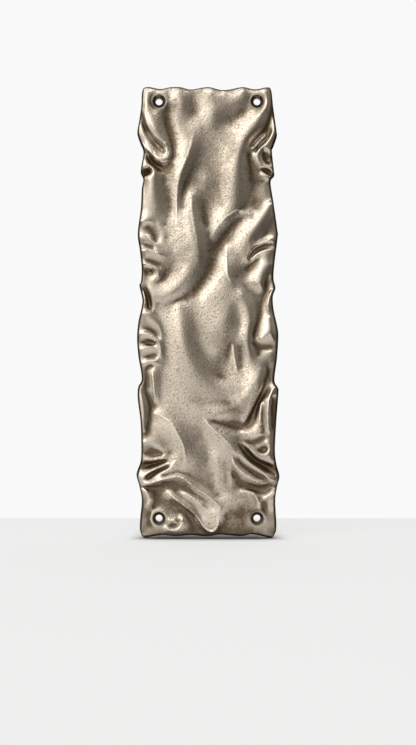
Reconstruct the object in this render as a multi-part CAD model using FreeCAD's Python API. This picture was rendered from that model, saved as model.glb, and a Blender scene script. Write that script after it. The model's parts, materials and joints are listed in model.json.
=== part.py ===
import FreeCAD, Part

import os
from bisect import bisect_right
from math import exp, hypot, pi, radians, sin, sqrt, tan

# Door finger plate: one heavy metal casting whose face is crumpled into soft folds, with
# wavy edges and four countersunk screw holes.
# Frame: the flat back is at y = 0 and meets the door, the face looks along -Y, +Z is up,
# and the origin is the middle of the back. Millimetres.

# Driving dimensions
plate_height = 300.0
plate_width = 95.3          # over the widest bulges of both long edges
face_thickness = 6.5        # from the door to the plain face and the flats at the screws
relief_depth = 8.4          # from the deepest groove to the highest crest
rim_thickness = 4.8         # from the door to the face along the rims of the long edges
end_rim_thickness = 5.6     # the same along the rims of the short edges
rim_radius = 1.5            # rounding between the face and the sides
side_draft = 0.6            # how far the sides lean in from the door to the rim
screw_hole_radius = 2.3
countersink_radius = 4.35
countersink_angle = 90.0
screw_flat_margin = 0.9     # flat metal left round each countersink
screw_flat_blend = 1.4      # over which the flat metal eases into the folds
hole_margin_side = 15.15    # hole centre to the widest bulge beside it
hole_margin_top = 10.3
hole_margin_bottom = 13.2

# How the fold lines are joined: a sheet stretched over them is softened by each of these
# radii in turn, widest first, and what each leaves out is stretched again.
softening_radii = (5.3, 3.3, 2.0, 1.07, 0.53)

# How finely the casting is drawn
points_across = 42
points_down = 116
side_crowding = 0.35        # how much closer the points stand at the long edges, 0 to 1
sheet_passes = 60           # rounds of stretching for the sheet that joins the fold lines
sheet_push = 1.88           # over-relaxation, between 1 and 2

# The outline and the folds are given as points of the front view, in pixels of the
# reference picture. This frame maps them onto the plate: x runs right and y runs down.
VIEW_LEFT = 136.3
VIEW_RIGHT = 279.0
VIEW_TOP = 87.0
VIEW_FOOT = 536.3

# Fold heights are drawn in millimetres above the door, for a face that is 6 mm thick
# with 7 mm of relief.
DRAWN_FACE = 6.0
DRAWN_RELIEF = 7.0

LEFT_EDGE = (
    (143.5, 88.5), (141.8, 92), (141, 106), (139, 120), (137.1, 133), (140.2, 143.5),
    (143.2, 152), (141, 166), (140.6, 173), (143, 179.3), (141.5, 189), (140.5, 208),
    (137.5, 233), (139.6, 250), (141.4, 268), (140.7, 281), (139.2, 285), (142, 298),
    (141.5, 306), (138, 322), (136.8, 338), (138.2, 356), (141, 372), (141.2, 380),
    (137.9, 386.5), (137.5, 398), (140.2, 420), (141, 440), (140.6, 459), (137.3, 469),
    (136.3, 475), (139.2, 485.5), (141.5, 499), (140, 517), (139.6, 528), (141.5, 534.5),
)
RIGHT_EDGE = (
    (269.5, 88.6), (271.2, 92), (272.8, 107), (276, 130), (276.3, 136.5), (272.8, 147),
    (271.5, 151), (273.6, 171), (273.6, 176), (270.2, 182), (273.2, 203), (276.9, 229),
    (277.3, 236), (273.9, 264), (273.1, 278), (275, 287.5), (272.4, 296), (273.2, 309),
    (276.9, 326), (277.9, 336), (276.6, 357), (274, 379), (277.2, 386.5), (278, 392),
    (275.8, 422), (274.5, 450), (276.2, 464), (279, 475), (276.6, 486), (274.8, 500),
    (276, 526), (273.5, 535),
)
TOP_EDGE = (
    (143.5, 88.5), (146.5, 87.2), (151, 87.2), (161, 89), (171, 87.2), (181, 87.5),
    (191, 89.4), (207, 87.2), (223, 90.3), (241, 87.4), (254, 89.3), (266, 87.3),
    (269.5, 88.6),
)
FOOT_EDGE = (
    (141.5, 534.5), (144, 536.2), (149, 536), (162, 534), (176, 535), (191, 534),
    (206, 535.2), (220, 533.6), (240, 535), (252, 533.3), (267, 536.3), (271, 536.3),
    (273.5, 535),
)

# Each fold line is a crest, a valley or a shoulder: points (x, y, height).
TOP_FOLDS = {
    "left corner": ((147, 93, 6.4), (146.5, 103, 6.6), (148, 111, 6.9)),
    "left crest": (
        (149, 113, 7.0), (151.5, 122, 7.4), (154.5, 130, 7.6), (157.5, 136, 7.3), (160.5, 140.5, 7.1),
    ),
    "left valley": (
        (167, 93, 5.7), (166.5, 103, 5.4), (166.5, 115, 4.9), (168, 126, 4.6), (170.5, 136, 4.7),
        (172.5, 145, 5.0), (173, 155, 5.6), (171.5, 163, 6.2),
    ),
    "left valley shoulder": (
        (175, 108, 5.7), (177, 122, 5.6), (179.5, 134, 5.9), (180.5, 144, 6.3), (178.5, 154, 6.6),
    ),
    "hanging crest": ((179, 91, 6.9), (181, 98, 7.1), (181.5, 105, 7.0), (181, 112, 6.2)),
    "hanging valley": (
        (192, 92, 5.3), (193, 99, 5.2), (193.5, 107, 5.2), (193, 114, 5.2), (189, 121, 5.5),
    ),
    "middle crest": (
        (211, 91, 6.8), (212, 99, 7.0), (213, 107, 7.4), (213, 115, 7.4), (211.5, 127, 6.8),
    ),
    "cross crest": (
        (213, 104.5, 7.3), (221, 104, 7.1), (229, 104.3, 7.0), (236, 102.5, 7.0), (241, 98, 7.1),
        (243, 91, 7.1),
    ),
    "cross dip": ((224, 93, 6.6), (228, 98, 6.8)),
    "cross valley": (
        (220, 124, 6.0), (226, 122.5, 5.4), (232, 121, 5.2), (239, 116, 5.4), (246, 109, 5.8),
    ),
    "right corner": ((265, 92, 6.5), (265.3, 101, 6.6), (264.5, 110, 6.9)),
}
UPPER_FOLDS = {
    "long crest": (
        (261, 113, 7.1), (260, 120, 7.6), (256, 128, 8.1), (250.5, 135, 8.3), (245, 143, 8.6),
        (240.5, 152, 8.9), (238, 163, 9.0), (235.5, 175, 8.7), (234, 187, 8.2), (234.5, 198, 7.5),
        (236, 206, 6.8),
    ),
    "long slope": (
        (231, 131, 6.3), (226, 140, 6.5), (222, 150, 6.3), (219.5, 160, 6.0), (218, 172, 5.7),
        (217.5, 184, 5.5), (219, 196, 5.5), (221.5, 206, 5.8),
    ),
    "right valley": (
        (248.5, 155, 5.3), (252, 165, 4.9), (253, 177, 4.7), (252.5, 189, 4.7), (249.5, 200, 4.8),
        (245, 207.5, 5.0), (238, 212, 5.3),
    ),
    "leaf crest": (
        (194, 131, 6.5), (193, 138, 6.9), (191, 147, 7.4), (188, 156, 7.8), (184.5, 165, 8.0),
        (181, 174, 7.9), (178.5, 184, 7.3), (177, 196, 6.8), (176.5, 210, 6.7), (176.8, 226, 6.9),
    ),
    "leaf valley": (
        (204, 137, 6.0), (202.5, 146, 5.7), (198.5, 156, 5.5), (194, 166, 5.4), (188.5, 177, 5.3),
        (184, 188, 5.4), (182, 199, 5.8), (182.5, 209, 6.4),
    ),
    "inner crest": (
        (191.5, 194, 6.3), (191.5, 203, 6.9), (192, 212, 7.6), (193.5, 221, 8.4),
        (195.5, 232, 9.0), (197, 242, 9.1), (198.3, 250, 8.8),
    ),
    "inner valley": (
        (205, 178, 5.5), (205, 189, 5.2), (204, 200, 4.8), (204, 210, 4.7), (205, 219, 5.0),
        (207, 227, 5.5),
    ),
    "left hollow": (
        (163, 174, 5.3), (165.5, 186, 5.3), (168.5, 198, 5.1), (170.5, 209, 5.1), (167, 217, 5.2),
    ),
    "left edge crest": ((152.3, 181, 7.7), (152.5, 190, 7.4), (153.5, 199, 6.9), (157, 208, 6.3)),
}
LEFT_ROLLS = {
    "left groove": (
        (141, 112, 4.7), (142.3, 120, 4.5), (145, 128.5, 4.3), (149.5, 136.5, 4.1), (154, 142, 3.9),
        (157.5, 146, 4.0),
    ),
    "left groove lip": (
        (143.8, 111, 6.0), (145.6, 119, 6.1), (148.2, 127, 6.2), (152, 133.5, 6.5),
        (156.5, 138.8, 6.8), (161, 142.3, 6.9), (165, 145.5, 7.0), (167, 150, 7.0),
        (165.3, 154.5, 7.0), (161, 155.8, 6.8), (157.3, 154, 6.5), (155.5, 150, 6.2),
    ),
    "left loop": ((159.5, 147, 4.7), (161.5, 149, 4.4), (163, 151.5, 4.7)),
    "left flap": (
        (140.2, 121, 5.3), (141.6, 129, 6.0), (145, 137.5, 6.4), (149.5, 143.5, 6.5),
        (153.5, 148, 6.5),
    ),
    "left roll": (
        (144, 147.5, 5.9), (149.5, 152, 6.7), (154.5, 157.5, 7.3), (159, 161.7, 7.6),
        (164, 162.7, 7.6), (168.3, 159.5, 7.5), (170.2, 154, 7.3),
    ),
    "under left roll": (
        (147, 155.5, 4.3), (150, 160.5, 3.4), (154.5, 165.3, 3.4), (160.5, 168.3, 4.2),
        (167, 166.8, 5.0), (171.5, 162, 5.6),
    ),
    "left dimple edge": ((142.8, 155, 5.6), (144.5, 159, 6.2), (146.5, 163.5, 6.4)),
    "second left roll": (
        (142, 168.3, 6.2), (146, 166.6, 6.8), (150.5, 167.3, 7.4), (154, 170, 7.7),
        (155.5, 174.5, 7.7),
    ),
    "left hole": ((142.8, 176, 2.6), (145.5, 173.3, 2.2), (149, 171.5, 3.2)),
    "left hole lip": ((144, 179, 5.6), (147.5, 176.5, 6.4), (151, 174.8, 6.8)),
}
RIGHT_ROLLS = {
    "right groove": (
        (271, 105, 4.9), (270.6, 113, 4.6), (269.7, 122, 4.3), (266.5, 129.5, 4.1),
        (261.5, 135.5, 4.1), (256, 140.5, 4.2), (251, 146.5, 4.4),
    ),
    "right groove fold": (
        (265, 136, 5.1), (259.7, 140.8, 5.7), (255.3, 145.3, 6.0), (252.3, 150, 6.0),
    ),
    "second right groove": (
        (270.3, 130.5, 4.4), (266.5, 137, 4.2), (262, 142.7, 4.1), (257.5, 147, 4.1),
        (254.7, 151.5, 4.3),
    ),
    "right flap": (
        (273.2, 118, 5.0), (273.8, 126, 5.6), (272, 134, 6.2), (268.5, 140.5, 6.4),
        (264, 145, 6.6), (259, 149, 6.7), (256.2, 154, 6.8), (256.8, 160, 6.8), (259.8, 166, 6.7),
    ),
    "right pocket top": ((263, 150.7, 6.0), (267, 149, 6.4), (270.3, 150.8, 6.2)),
    "right pocket": ((264, 155, 3.8), (266.3, 159, 3.3), (267, 163, 3.6)),
    "third right roll": (
        (261, 167.2, 6.4), (265, 166.3, 6.6), (269.3, 168.3, 6.6), (272, 171.5, 6.0),
    ),
    "right small groove": ((262.5, 170.3, 4.6), (266.3, 171.8, 3.9), (270, 174.5, 3.9)),
    "fourth right roll": ((261.5, 172.5, 5.9), (265, 175.5, 6.4), (268.7, 178.5, 6.3)),
}
LEFT_POCKETS = {
    "first pocket top": ((141.5, 221.5, 6.5), (145.5, 220.8, 6.6), (149.5, 222.3, 6.3)),
    "first pocket": ((147, 226, 4.9), (151, 230.5, 4.6), (154, 236, 4.5), (155.5, 241, 4.6)),
    "first pocket side": ((156.5, 221, 6.0), (160.5, 227, 6.1), (163, 234, 6.0), (163.5, 241, 5.9)),
    "first ridge": (
        (141.5, 236, 5.7), (147, 239.3, 6.0), (152, 242, 6.0), (157, 245.3, 5.9), (162, 249, 5.7),
    ),
    "second pocket": ((142.5, 244, 4.8), (147, 246, 4.9), (152.5, 248.3, 5.2)),
    "second ridge": ((142, 250.4, 6.1), (148, 249.8, 6.4), (154, 251.8, 6.5), (161, 255.5, 6.2)),
    "third pocket": ((145, 260, 5.0), (152, 263, 4.9), (159.5, 265.5, 4.7)),
    "third ridge": (
        (142.5, 262.3, 5.5), (147, 264.2, 6.0), (152.5, 266.3, 6.3), (157, 269.6, 6.3),
        (158.7, 274.3, 6.0), (155, 279, 5.7),
    ),
    "fourth pocket": ((144.5, 268.5, 4.4), (148.3, 270.3, 3.7), (151.7, 272.8, 4.1)),
    "edge groove": ((141.5, 286, 4.5), (145.5, 291, 3.4), (148, 299, 3.0), (149.5, 307, 3.2)),
    "groove sliver": ((142.8, 292, 5.2), (144.7, 299, 5.6), (145, 307, 5.3)),
    "groove lip": ((148.5, 287, 5.1), (151, 294, 5.2), (152.7, 301, 5.0), (154, 309, 4.7)),
    "fifth pocket top": (
        (143, 312.3, 6.1), (147.5, 311.8, 6.2), (153, 315.3, 6.0), (157.5, 321, 5.8),
        (160.3, 328, 5.7), (161.5, 336, 5.5),
    ),
    "fifth pocket": ((142.5, 328, 5.0), (148.5, 329.3, 4.7), (154, 332, 4.4), (158, 337, 4.3)),
    "fifth ridge": (
        (141.5, 332.8, 5.9), (147, 333.4, 6.0), (153, 336, 6.0), (157.8, 340, 6.0),
        (160.4, 346, 5.9), (160.7, 353, 5.7), (158, 359, 5.4),
    ),
    "sixth pocket": ((142.5, 341.5, 4.2), (148, 342.3, 3.5), (153.7, 342.5, 3.6)),
    "sixth ridge": (
        (141.3, 348.5, 5.5), (146, 346.3, 5.7), (151.5, 346.6, 5.6), (155.5, 348.3, 5.1),
    ),
    "seventh pocket": ((144.5, 357.3, 4.9), (150, 356.8, 4.3), (155.5, 355.3, 4.4)),
    "seventh ridge": ((144.8, 363, 5.8), (148, 361, 6.0), (153, 360.3, 6.1), (156.5, 361.3, 5.9)),
    "seventh hollow": ((147, 366.5, 4.1), (151, 364.8, 4.1)),
    "upright slot": ((146.8, 371, 4.2), (147, 379, 3.9), (147, 387, 3.8)),
    "upright crest": ((152.3, 370, 5.7), (153.4, 380, 5.9), (154.3, 390, 5.8), (155.2, 400, 5.4)),
    "upright valley": ((160.5, 368, 5.0), (161.5, 380, 5.1), (161, 392, 5.1), (159.5, 408, 5.1)),
    "tall flap": (
        (139.3, 388, 5.0), (141.8, 396, 5.8), (143, 405, 6.1), (143, 417, 6.0), (142.6, 430, 5.7),
    ),
    "tall flap groove": (
        (142, 386, 4.8), (146, 392, 4.2), (150, 399, 3.8), (152.3, 406, 3.8), (150.5, 414, 4.2),
        (148, 423, 4.4), (147, 433, 4.8),
    ),
    "eighth pocket top": ((142.5, 441.3, 5.9), (149, 440, 6.3), (156, 442.3, 6.4), (161.5, 447.5, 6.3)),
    "eighth pocket": ((144, 447.5, 5.0), (151.5, 447, 4.8), (158.5, 449.5, 4.9)),
    "eighth pocket foot": ((144.5, 453.6, 4.8), (153, 454.3, 4.7), (161, 453, 4.8)),
    "eighth ridge": ((142.3, 457, 6.1), (150, 457.8, 6.4), (158, 457.2, 6.5), (165, 455.6, 6.5)),
}
TONGUE_FOLDS = {
    "upper rise": ((165, 225, 5.4), (174, 226, 6.4), (183, 227, 7.7)),
    "middle rise": ((167, 238, 5.6), (176, 238, 6.9), (185, 238, 8.1)),
    "lower rise": ((176, 252, 6.5), (184, 252, 7.4), (191, 252, 8.2)),
    "tongue channel": (
        (172.5, 248, 6.1), (171.5, 256, 5.5), (169.5, 264, 4.9), (166.5, 272, 4.6),
        (162, 279, 4.7), (156, 283.5, 5.4),
    ),
    "tongue crest": (
        (150, 283, 5.2), (153.5, 289, 5.6), (158.5, 294.3, 6.0), (165, 296.5, 6.5), (173, 293, 6.9),
        (181, 285.5, 6.9), (188, 276.5, 7.1), (193.5, 266.5, 7.4), (197, 257.5, 8.1),
        (198.3, 250, 8.8),
    ),
    "tongue middle": ((183, 262, 6.6), (178, 272, 6.0), (171, 282, 5.9)),
    "under tongue": (
        (158, 302, 4.8), (167, 303, 5.3), (178, 300.5, 5.2), (188, 295, 4.7), (198, 286.5, 4.1),
        (206, 276, 3.8), (211, 266, 4.0), (215, 257, 4.2), (219.5, 249.5, 4.1), (223, 242.5, 3.9),
        (226.5, 235.5, 4.0), (230.5, 229, 4.2), (235, 223, 4.6), (240, 218.5, 5.0),
    ),
    "channel head": ((209, 233, 5.8), (209, 243, 5.6), (208, 254, 5.2)),
    "rough ridge": (
        (211, 238, 5.7), (215, 231, 6.2), (219.5, 225, 6.8), (224.5, 219.5, 7.3), (230.5, 215, 7.0),
        (237, 211.5, 6.4), (245, 213.3, 5.8), (252.5, 217.5, 6.0),
    ),
    "broad ridge": (
        (273, 202, 5.6), (269, 209, 6.8), (263.5, 216, 7.6), (258, 223, 8.0),
        (252.8, 231.5, 8.1), (249.3, 240, 7.9), (246.8, 249, 7.4), (245.5, 257, 6.8),
    ),
    "right valley side": (
        (262, 181, 4.9), (263.5, 190, 5.0), (262.5, 199, 5.1), (257, 208, 5.4), (250, 214, 5.9),
    ),
    "ridge slope": ((242, 232, 7.0), (238, 240, 6.8), (234, 249, 6.4), (231, 257, 6.3)),
    "centre knuckle": (
        (225.5, 246, 5.4), (226, 256, 6.1), (226.5, 266, 6.6), (228, 276, 6.8), (233, 286, 6.7),
    ),
    "centre plain": ((206, 298, 6.6), (214, 288, 6.4), (221, 278, 6.5)),
    "right hollow": ((271, 222, 5.2), (268.5, 231, 5.1), (262, 237.5, 5.2), (255, 242, 5.4)),
    "slot top": (
        (272.5, 239.5, 6.0), (266, 241.3, 6.3), (259, 243.8, 6.6), (253, 247.5, 6.9),
        (248.7, 252.3, 7.0), (246.2, 258.5, 6.8),
    ),
    "slot": (
        (271, 244.3, 4.9), (264.5, 246, 4.5), (257.5, 249, 4.3), (252.3, 253, 4.3),
        (249.3, 257.5, 4.6),
    ),
    "slot foot": (
        (272, 249.5, 5.9), (265, 250.2, 6.0), (259, 252.3, 6.0), (254, 256, 5.8),
        (250.3, 261, 5.2),
    ),
    "under slot": ((257, 259, 5.2), (252, 264, 4.4), (247.5, 269.5, 4.2), (241, 272, 4.8)),
    "before slot": ((240, 258, 6.4), (236, 265, 6.1)),
    "lobe": ((266, 256, 6.6), (262.5, 264, 6.9), (259, 273, 7.0), (256.5, 283, 6.8)),
    "lobe edge": ((270, 264, 6.9), (265.7, 268.5, 7.0), (263.3, 275, 6.8), (260.3, 286, 6.5)),
    "lobe pocket": ((268.5, 275, 5.0), (265.5, 281.5, 4.3), (264, 286, 4.4)),
    "under lobe": (
        (236, 277, 5.2), (242, 283, 4.9), (248.5, 290.5, 4.6), (255, 296, 4.4), (260, 299, 4.2),
    ),
}
MIDDLE_FOLDS = {
    "bowl crest": (
        (179.5, 304, 6.5), (180.3, 315, 7.3), (181, 325, 7.9), (182.3, 335, 8.2), (184, 345, 8.2),
        (187, 355, 8.0), (192, 365, 7.8), (198, 373.5, 7.5), (205, 381, 7.2), (213, 386, 6.9),
        (223, 388.5, 6.6), (232, 388, 6.6),
    ),
    "bowl valley": (
        (193, 303, 5.5), (194, 314, 6.2), (195, 326, 6.3), (197, 338, 6.2), (201, 349, 6.0),
        (206, 358, 5.6), (212, 367, 5.1), (219, 375, 4.7),
    ),
    "bowl ridge": (
        (229, 298, 7.3), (227.5, 309, 7.9), (225.5, 319, 8.3), (222, 329, 8.1), (217.5, 339, 7.3),
        (213, 348, 6.4),
    ),
    "bowl slope": ((209, 303, 6.9), (208, 318, 7.1), (207, 332, 6.8)),
    "right trough": (
        (237, 304, 7.1), (239, 316, 6.8), (238.5, 327, 6.7), (234, 338, 6.2), (229, 349, 5.2),
        (227, 359, 4.7), (225, 368, 4.6), (222, 377, 4.8),
    ),
    "small crest": ((231.5, 342, 5.9), (233.2, 352, 5.9), (235, 362, 6.0), (237, 373, 6.2)),
    "small hollow": ((239.5, 346, 5.8), (240.5, 356, 5.6), (240.5, 367, 5.7)),
    "upright ridge": (
        (241, 293, 7.1), (244.5, 303, 7.5), (248.3, 313, 7.7), (250, 322, 7.8), (248, 333, 8.1),
        (246.7, 344, 7.9), (247.7, 354, 7.3), (247.7, 363, 7.0), (243.5, 373, 6.7),
    ),
    "left plain": (
        (154, 313, 5.0), (160, 321, 5.1), (163.5, 331, 5.1), (164.3, 343, 5.1), (164.3, 355, 5.1),
        (163.8, 365, 5.0),
    ),
    "right lobe crest": (
        (268, 317, 6.6), (270.5, 326, 7.4), (271, 333, 7.5), (265.5, 335.5, 7.6), (259.5, 338, 7.4),
    ),
    "right lobe pocket": ((254, 343, 5.0), (260, 346.5, 4.6), (266, 347.3, 4.5), (272, 346, 4.7)),
    "right lobe foot": ((258, 354, 5.2), (265, 351.5, 5.5), (271, 353, 5.6), (267, 361, 5.6)),
    "right groove": (
        (271.8, 285.5, 4.5), (267, 291.5, 4.2), (263.3, 299.5, 4.2), (261, 308, 4.5),
        (258.5, 317, 4.9), (256, 326, 5.2), (254, 336, 5.0),
    ),
    "right flap": ((271, 291, 5.9), (268.3, 298, 6.1), (266.8, 307, 6.2)),
    "big lobe crest": (
        (262.3, 369, 7.2), (261, 377, 7.9), (257.5, 385, 8.3), (252, 392.5, 8.5), (246, 399, 8.4),
        (241, 405, 8.0),
    ),
    "big lobe shoulder": ((240, 380, 6.6), (241, 391, 7.4)),
    "big lobe edge": (
        (263.2, 379, 6.5), (260, 388, 6.8), (256, 396, 6.7), (251.5, 405, 6.5), (247.5, 413, 6.3),
        (243, 420, 6.0),
    ),
    "long groove": (
        (267.3, 367, 5.0), (266, 376, 4.6), (263.2, 386, 3.9), (259.3, 396, 3.3), (255, 406, 3.0),
        (251.5, 414, 3.2), (247.5, 421, 3.8), (242.5, 426, 4.5),
    ),
    "long flap": (
        (275, 385, 5.2), (271.3, 390, 6.1), (268.5, 398, 6.6), (267.4, 408, 6.8), (267.4, 420, 6.8),
        (267.8, 429, 6.3),
    ),
    "long flap foot": ((263.5, 398, 5.3), (262.4, 408, 5.2), (262.2, 419, 5.3), (263.5, 429, 5.3)),
    "long flap edge": ((272.6, 396, 4.9), (271.3, 406, 4.6), (270.9, 418, 4.6), (271.2, 429, 4.9)),
    "three-corner side": ((260.4, 402, 5.4), (259.8, 412, 6.0), (260.2, 422, 6.4)),
    "three-corner crest": (
        (242, 429.7, 5.7), (247, 432, 6.2), (252.5, 434.8, 6.5), (258, 433.5, 6.6), (261, 428, 6.3),
    ),
    "under three-corner": ((241, 437.5, 5.5), (248, 441, 4.9), (255, 441, 4.7), (262, 437, 4.8)),
}
LOWER_FOLDS = {
    "under bowl": ((188, 398, 6.8), (200, 401, 6.7), (213, 402.5, 6.7), (228, 401.5, 6.6)),
    "second bowl crest": (
        (191, 408, 7.0), (202, 412.5, 7.6), (212, 414.3, 7.9), (222, 414, 7.8), (231, 411, 7.5),
        (238, 406, 7.6),
    ),
    "second bowl valley": (
        (212, 419, 6.9), (219, 421, 6.3), (227, 423, 5.4), (235, 425, 4.6), (242.5, 426.5, 4.1),
    ),
    "slanting crest": (
        (203, 416, 7.4), (209, 423.5, 8.0), (216, 430, 8.4), (223, 436, 8.6), (229, 442, 8.6),
        (233.5, 446.5, 8.4),
    ),
    "left arm crest": (
        (155, 412, 5.4), (163, 416, 6.2), (170, 421, 7.1), (175.5, 428, 7.8), (179.5, 435.5, 8.2),
        (183, 443, 8.3), (184.7, 451, 8.2), (184.5, 460, 7.8), (182.5, 468, 7.4),
    ),
    "left arm foot": (
        (170, 413.5, 6.2), (178, 418.5, 6.5), (184.5, 427, 6.7), (189.5, 436, 6.8), (193, 446, 6.7),
        (194.5, 457, 6.5),
    ),
    "left arm shoulder": ((154, 424, 5.0), (158, 433, 5.6), (165, 442, 6.0), (170, 452, 5.9)),
    "left arm valley": (
        (194, 419, 6.6), (199, 429, 6.1), (203.5, 440, 5.8), (206.5, 452, 5.6), (207.5, 464, 5.6),
    ),
    "slit groove": ((142, 464.5, 3.4), (149, 463.5, 2.8), (157, 461.5, 3.0), (164.5, 459.5, 4.2)),
    "slit ridge": (
        (141.5, 477.5, 6.2), (146, 473, 6.4), (152, 468.7, 6.5), (159, 465.5, 6.6),
        (167, 462, 6.8),
    ),
    "second slit": ((146, 476, 4.8), (153, 471.5, 4.0), (160.5, 468, 3.9), (167.5, 465, 5.0)),
    "second slit ridge": (
        (152, 477, 6.4), (159, 472, 6.9), (165, 469, 7.2), (171, 465.5, 7.6), (176.5, 458, 7.6),
    ),
    "apron crest": (
        (145, 482, 7.0), (152, 480.3, 7.7), (160, 478, 8.0), (169, 475.8, 8.0), (177, 474.6, 7.9),
        (183, 476, 7.8), (190, 481.5, 7.7), (198, 487.8, 7.6), (206, 493, 7.6), (214, 498.8, 7.7),
        (221, 505.5, 7.9),
    ),
    "over apron": (
        (163, 473.5, 6.9), (172, 471.5, 6.9), (180, 470, 6.9), (190, 475, 6.6), (200, 481, 6.2),
        (210, 488, 6.2), (218, 495, 6.6),
    ),
    "apron valley": (
        (143, 486, 4.9), (150, 486.5, 4.7), (158, 486.5, 4.6), (166, 485.5, 4.6), (175, 484.5, 4.8),
        (182, 486.5, 5.0), (189, 490.5, 5.3), (197, 495, 5.8), (206, 500.5, 6.5), (212, 506, 7.0),
    ),
    "apron shade": ((163, 481.5, 5.9), (175, 479.5, 6.0), (183, 481.5, 5.9), (190, 486.5, 5.9)),
    "inner lip": ((181, 490.5, 5.6), (189, 493.5, 6.4), (197, 499, 6.9), (203, 505, 7.3)),
    "lip crest": (
        (167.5, 489, 5.8), (172.5, 494.5, 6.8), (179, 499.7, 7.2), (187, 505.5, 7.1), (194, 511, 6.7),
        (198.5, 517, 6.2), (202.5, 523.5, 6.0), (207.5, 528, 6.3), (212.5, 529, 6.9),
        (217, 524, 7.8), (219, 513, 8.2), (221, 505.5, 8.1),
    ),
    "lip inside": (
        (174, 489, 5.2), (181, 495.5, 5.9), (190, 501, 6.0), (197, 507, 6.1), (202, 514, 6.0),
    ),
    "tip face": ((208.5, 511, 7.2), (209, 518, 6.9), (211.5, 524, 7.1)),
    "tip rise": ((214, 510, 7.7), (214.5, 517, 7.8)),
    "lip valley": (
        (163, 496, 4.9), (170, 503, 4.6), (178, 508.5, 4.4), (187, 514, 4.3), (193, 520, 4.4),
        (198, 527, 4.5), (204, 532.5, 4.9),
    ),
    "lip foot": ((171, 498, 5.2), (179, 503.5, 5.0), (188, 509.5, 4.9), (193.5, 515, 4.8)),
    "lip right": ((225, 512, 6.3), (223.5, 521, 5.8), (219.5, 530, 5.5)),
    "foot shoulder": ((225, 501, 7.6), (232, 498, 7.6), (239, 496.5, 7.3), (246, 497, 6.8)),
    "foot plain": ((231, 509, 6.1), (233, 518, 5.4), (233, 527, 5.1)),
    "foot slope": ((241, 506, 6.0), (241, 516, 5.3), (240, 527, 5.0)),
    "corner plain": ((151, 512, 5.0), (151, 524, 4.8)),
    "centre rib": (
        (213, 447, 7.0), (215.5, 457, 7.6), (217, 467, 7.6), (217.8, 477, 7.0), (218, 487, 6.4),
    ),
    "beside centre rib": ((210, 452, 6.6), (211.5, 464, 6.4), (212.5, 476, 5.8), (213, 486, 5.7)),
    "second hollow": ((224, 460, 7.4), (224.5, 470, 7.0), (225.3, 480, 6.3)),
    "second rib": ((228.5, 468, 7.7), (229.7, 475, 7.2), (230.5, 483, 6.5)),
    "eye ring": (
        (257, 450.5, 6.1), (260, 453.6, 6.6), (265, 453.4, 6.7), (268.3, 449, 6.5), (267.5, 444.5, 6.0),
    ),
    "over eye": ((257, 445.5, 5.7), (261.5, 443.6, 5.6), (265, 443, 5.6)),
    "eye": ((259.8, 449.2, 4.6), (263, 448.4, 4.2), (265.8, 447.6, 4.6)),
    "by eye": ((266, 440, 6.1), (268.5, 442.5, 6.3)),
    "right slit": (
        (236.5, 440, 6.4), (240, 444.5, 5.0), (244, 449.5, 3.5), (249, 455, 2.6), (256, 460, 2.2),
        (263, 463.5, 2.2), (270, 467.5, 2.7), (274, 471, 3.4),
    ),
    "right shelf": (
        (243, 440.5, 5.6), (247.5, 445.5, 5.6), (252, 451, 5.5), (257, 456, 5.4), (263, 459, 5.4),
        (270, 461, 5.6),
    ),
    "inner curve": (
        (238, 449.7, 7.8), (243, 455.5, 7.3), (248.5, 461, 6.9), (254.5, 465.5, 6.5), (261, 470, 6.3),
        (271, 477.5, 6.2),
    ),
    "curve trough": (
        (237.5, 456, 7.0), (242.5, 462.5, 6.2), (249, 468, 5.6), (256.5, 473, 5.3), (264.5, 477.5, 5.3),
    ),
    "outer curve": (
        (232.3, 452, 7.9), (233, 459, 8.0), (237, 465.5, 8.0), (243, 471, 7.8),
        (249.5, 475.5, 7.5), (256.5, 479.3, 7.2), (264, 480.8, 6.8),
    ),
    "under curve": (
        (232.5, 471, 6.4), (238, 478.5, 5.4), (245, 484, 4.7), (253, 487.5, 4.3), (261, 488, 4.2),
        (269, 485, 4.4),
    ),
    "foot crest": (
        (238, 489, 6.2), (247, 489.5, 6.3), (254, 492, 6.6), (257.5, 499, 6.8), (258.3, 506, 6.6),
    ),
    "foot pocket": ((262.5, 501, 5.4), (264.5, 505.5, 5.1), (264, 510, 5.2)),
    "foot flap": ((274.5, 489, 6.6), (268.5, 493, 6.6), (262, 497.3, 6.6)),
    "foot flap edge": ((272, 496, 6.2), (270.5, 504, 6.4), (270, 508, 6.3)),
    "corner loop": ((143, 486.5, 5.8), (147, 490, 6.3), (150, 497, 6.5), (147, 504.5, 6.2)),
    "corner hollow": ((155, 494, 4.9), (155, 505, 4.9)),
    "swirl": (
        (164.5, 523, 6.3), (168.5, 527, 6.9), (173.5, 528, 7.0), (178.5, 525.8, 7.0), (182, 520.5, 6.9),
        (182, 514.5, 6.4),
    ),
    "inner swirl": ((168, 517.8, 6.2), (173.5, 518.8, 6.5), (177.5, 521.3, 6.3)),
    "swirl hollow": ((171, 523.3, 5.4), (176.3, 523.6, 5.5), (178.8, 518.5, 5.3)),
    "above swirl": ((168, 508, 5.1), (176, 512.5, 4.9)),
}
FOLD_GROUPS = (
    TOP_FOLDS, UPPER_FOLDS, LEFT_ROLLS, RIGHT_ROLLS, LEFT_POCKETS, TONGUE_FOLDS, MIDDLE_FOLDS,
    LOWER_FOLDS,
)

view_scale_x = plate_width / (VIEW_RIGHT - VIEW_LEFT)
view_scale_z = plate_height / (VIEW_FOOT - VIEW_TOP)
view_middle_x = (VIEW_LEFT + VIEW_RIGHT) / 2
view_middle_y = (VIEW_TOP + VIEW_FOOT) / 2
relief_scale = relief_depth / DRAWN_RELIEF
sheet_step = min(plate_width / points_across, plate_height / points_down) / 2
flat_radius = countersink_radius + screw_flat_margin


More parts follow.
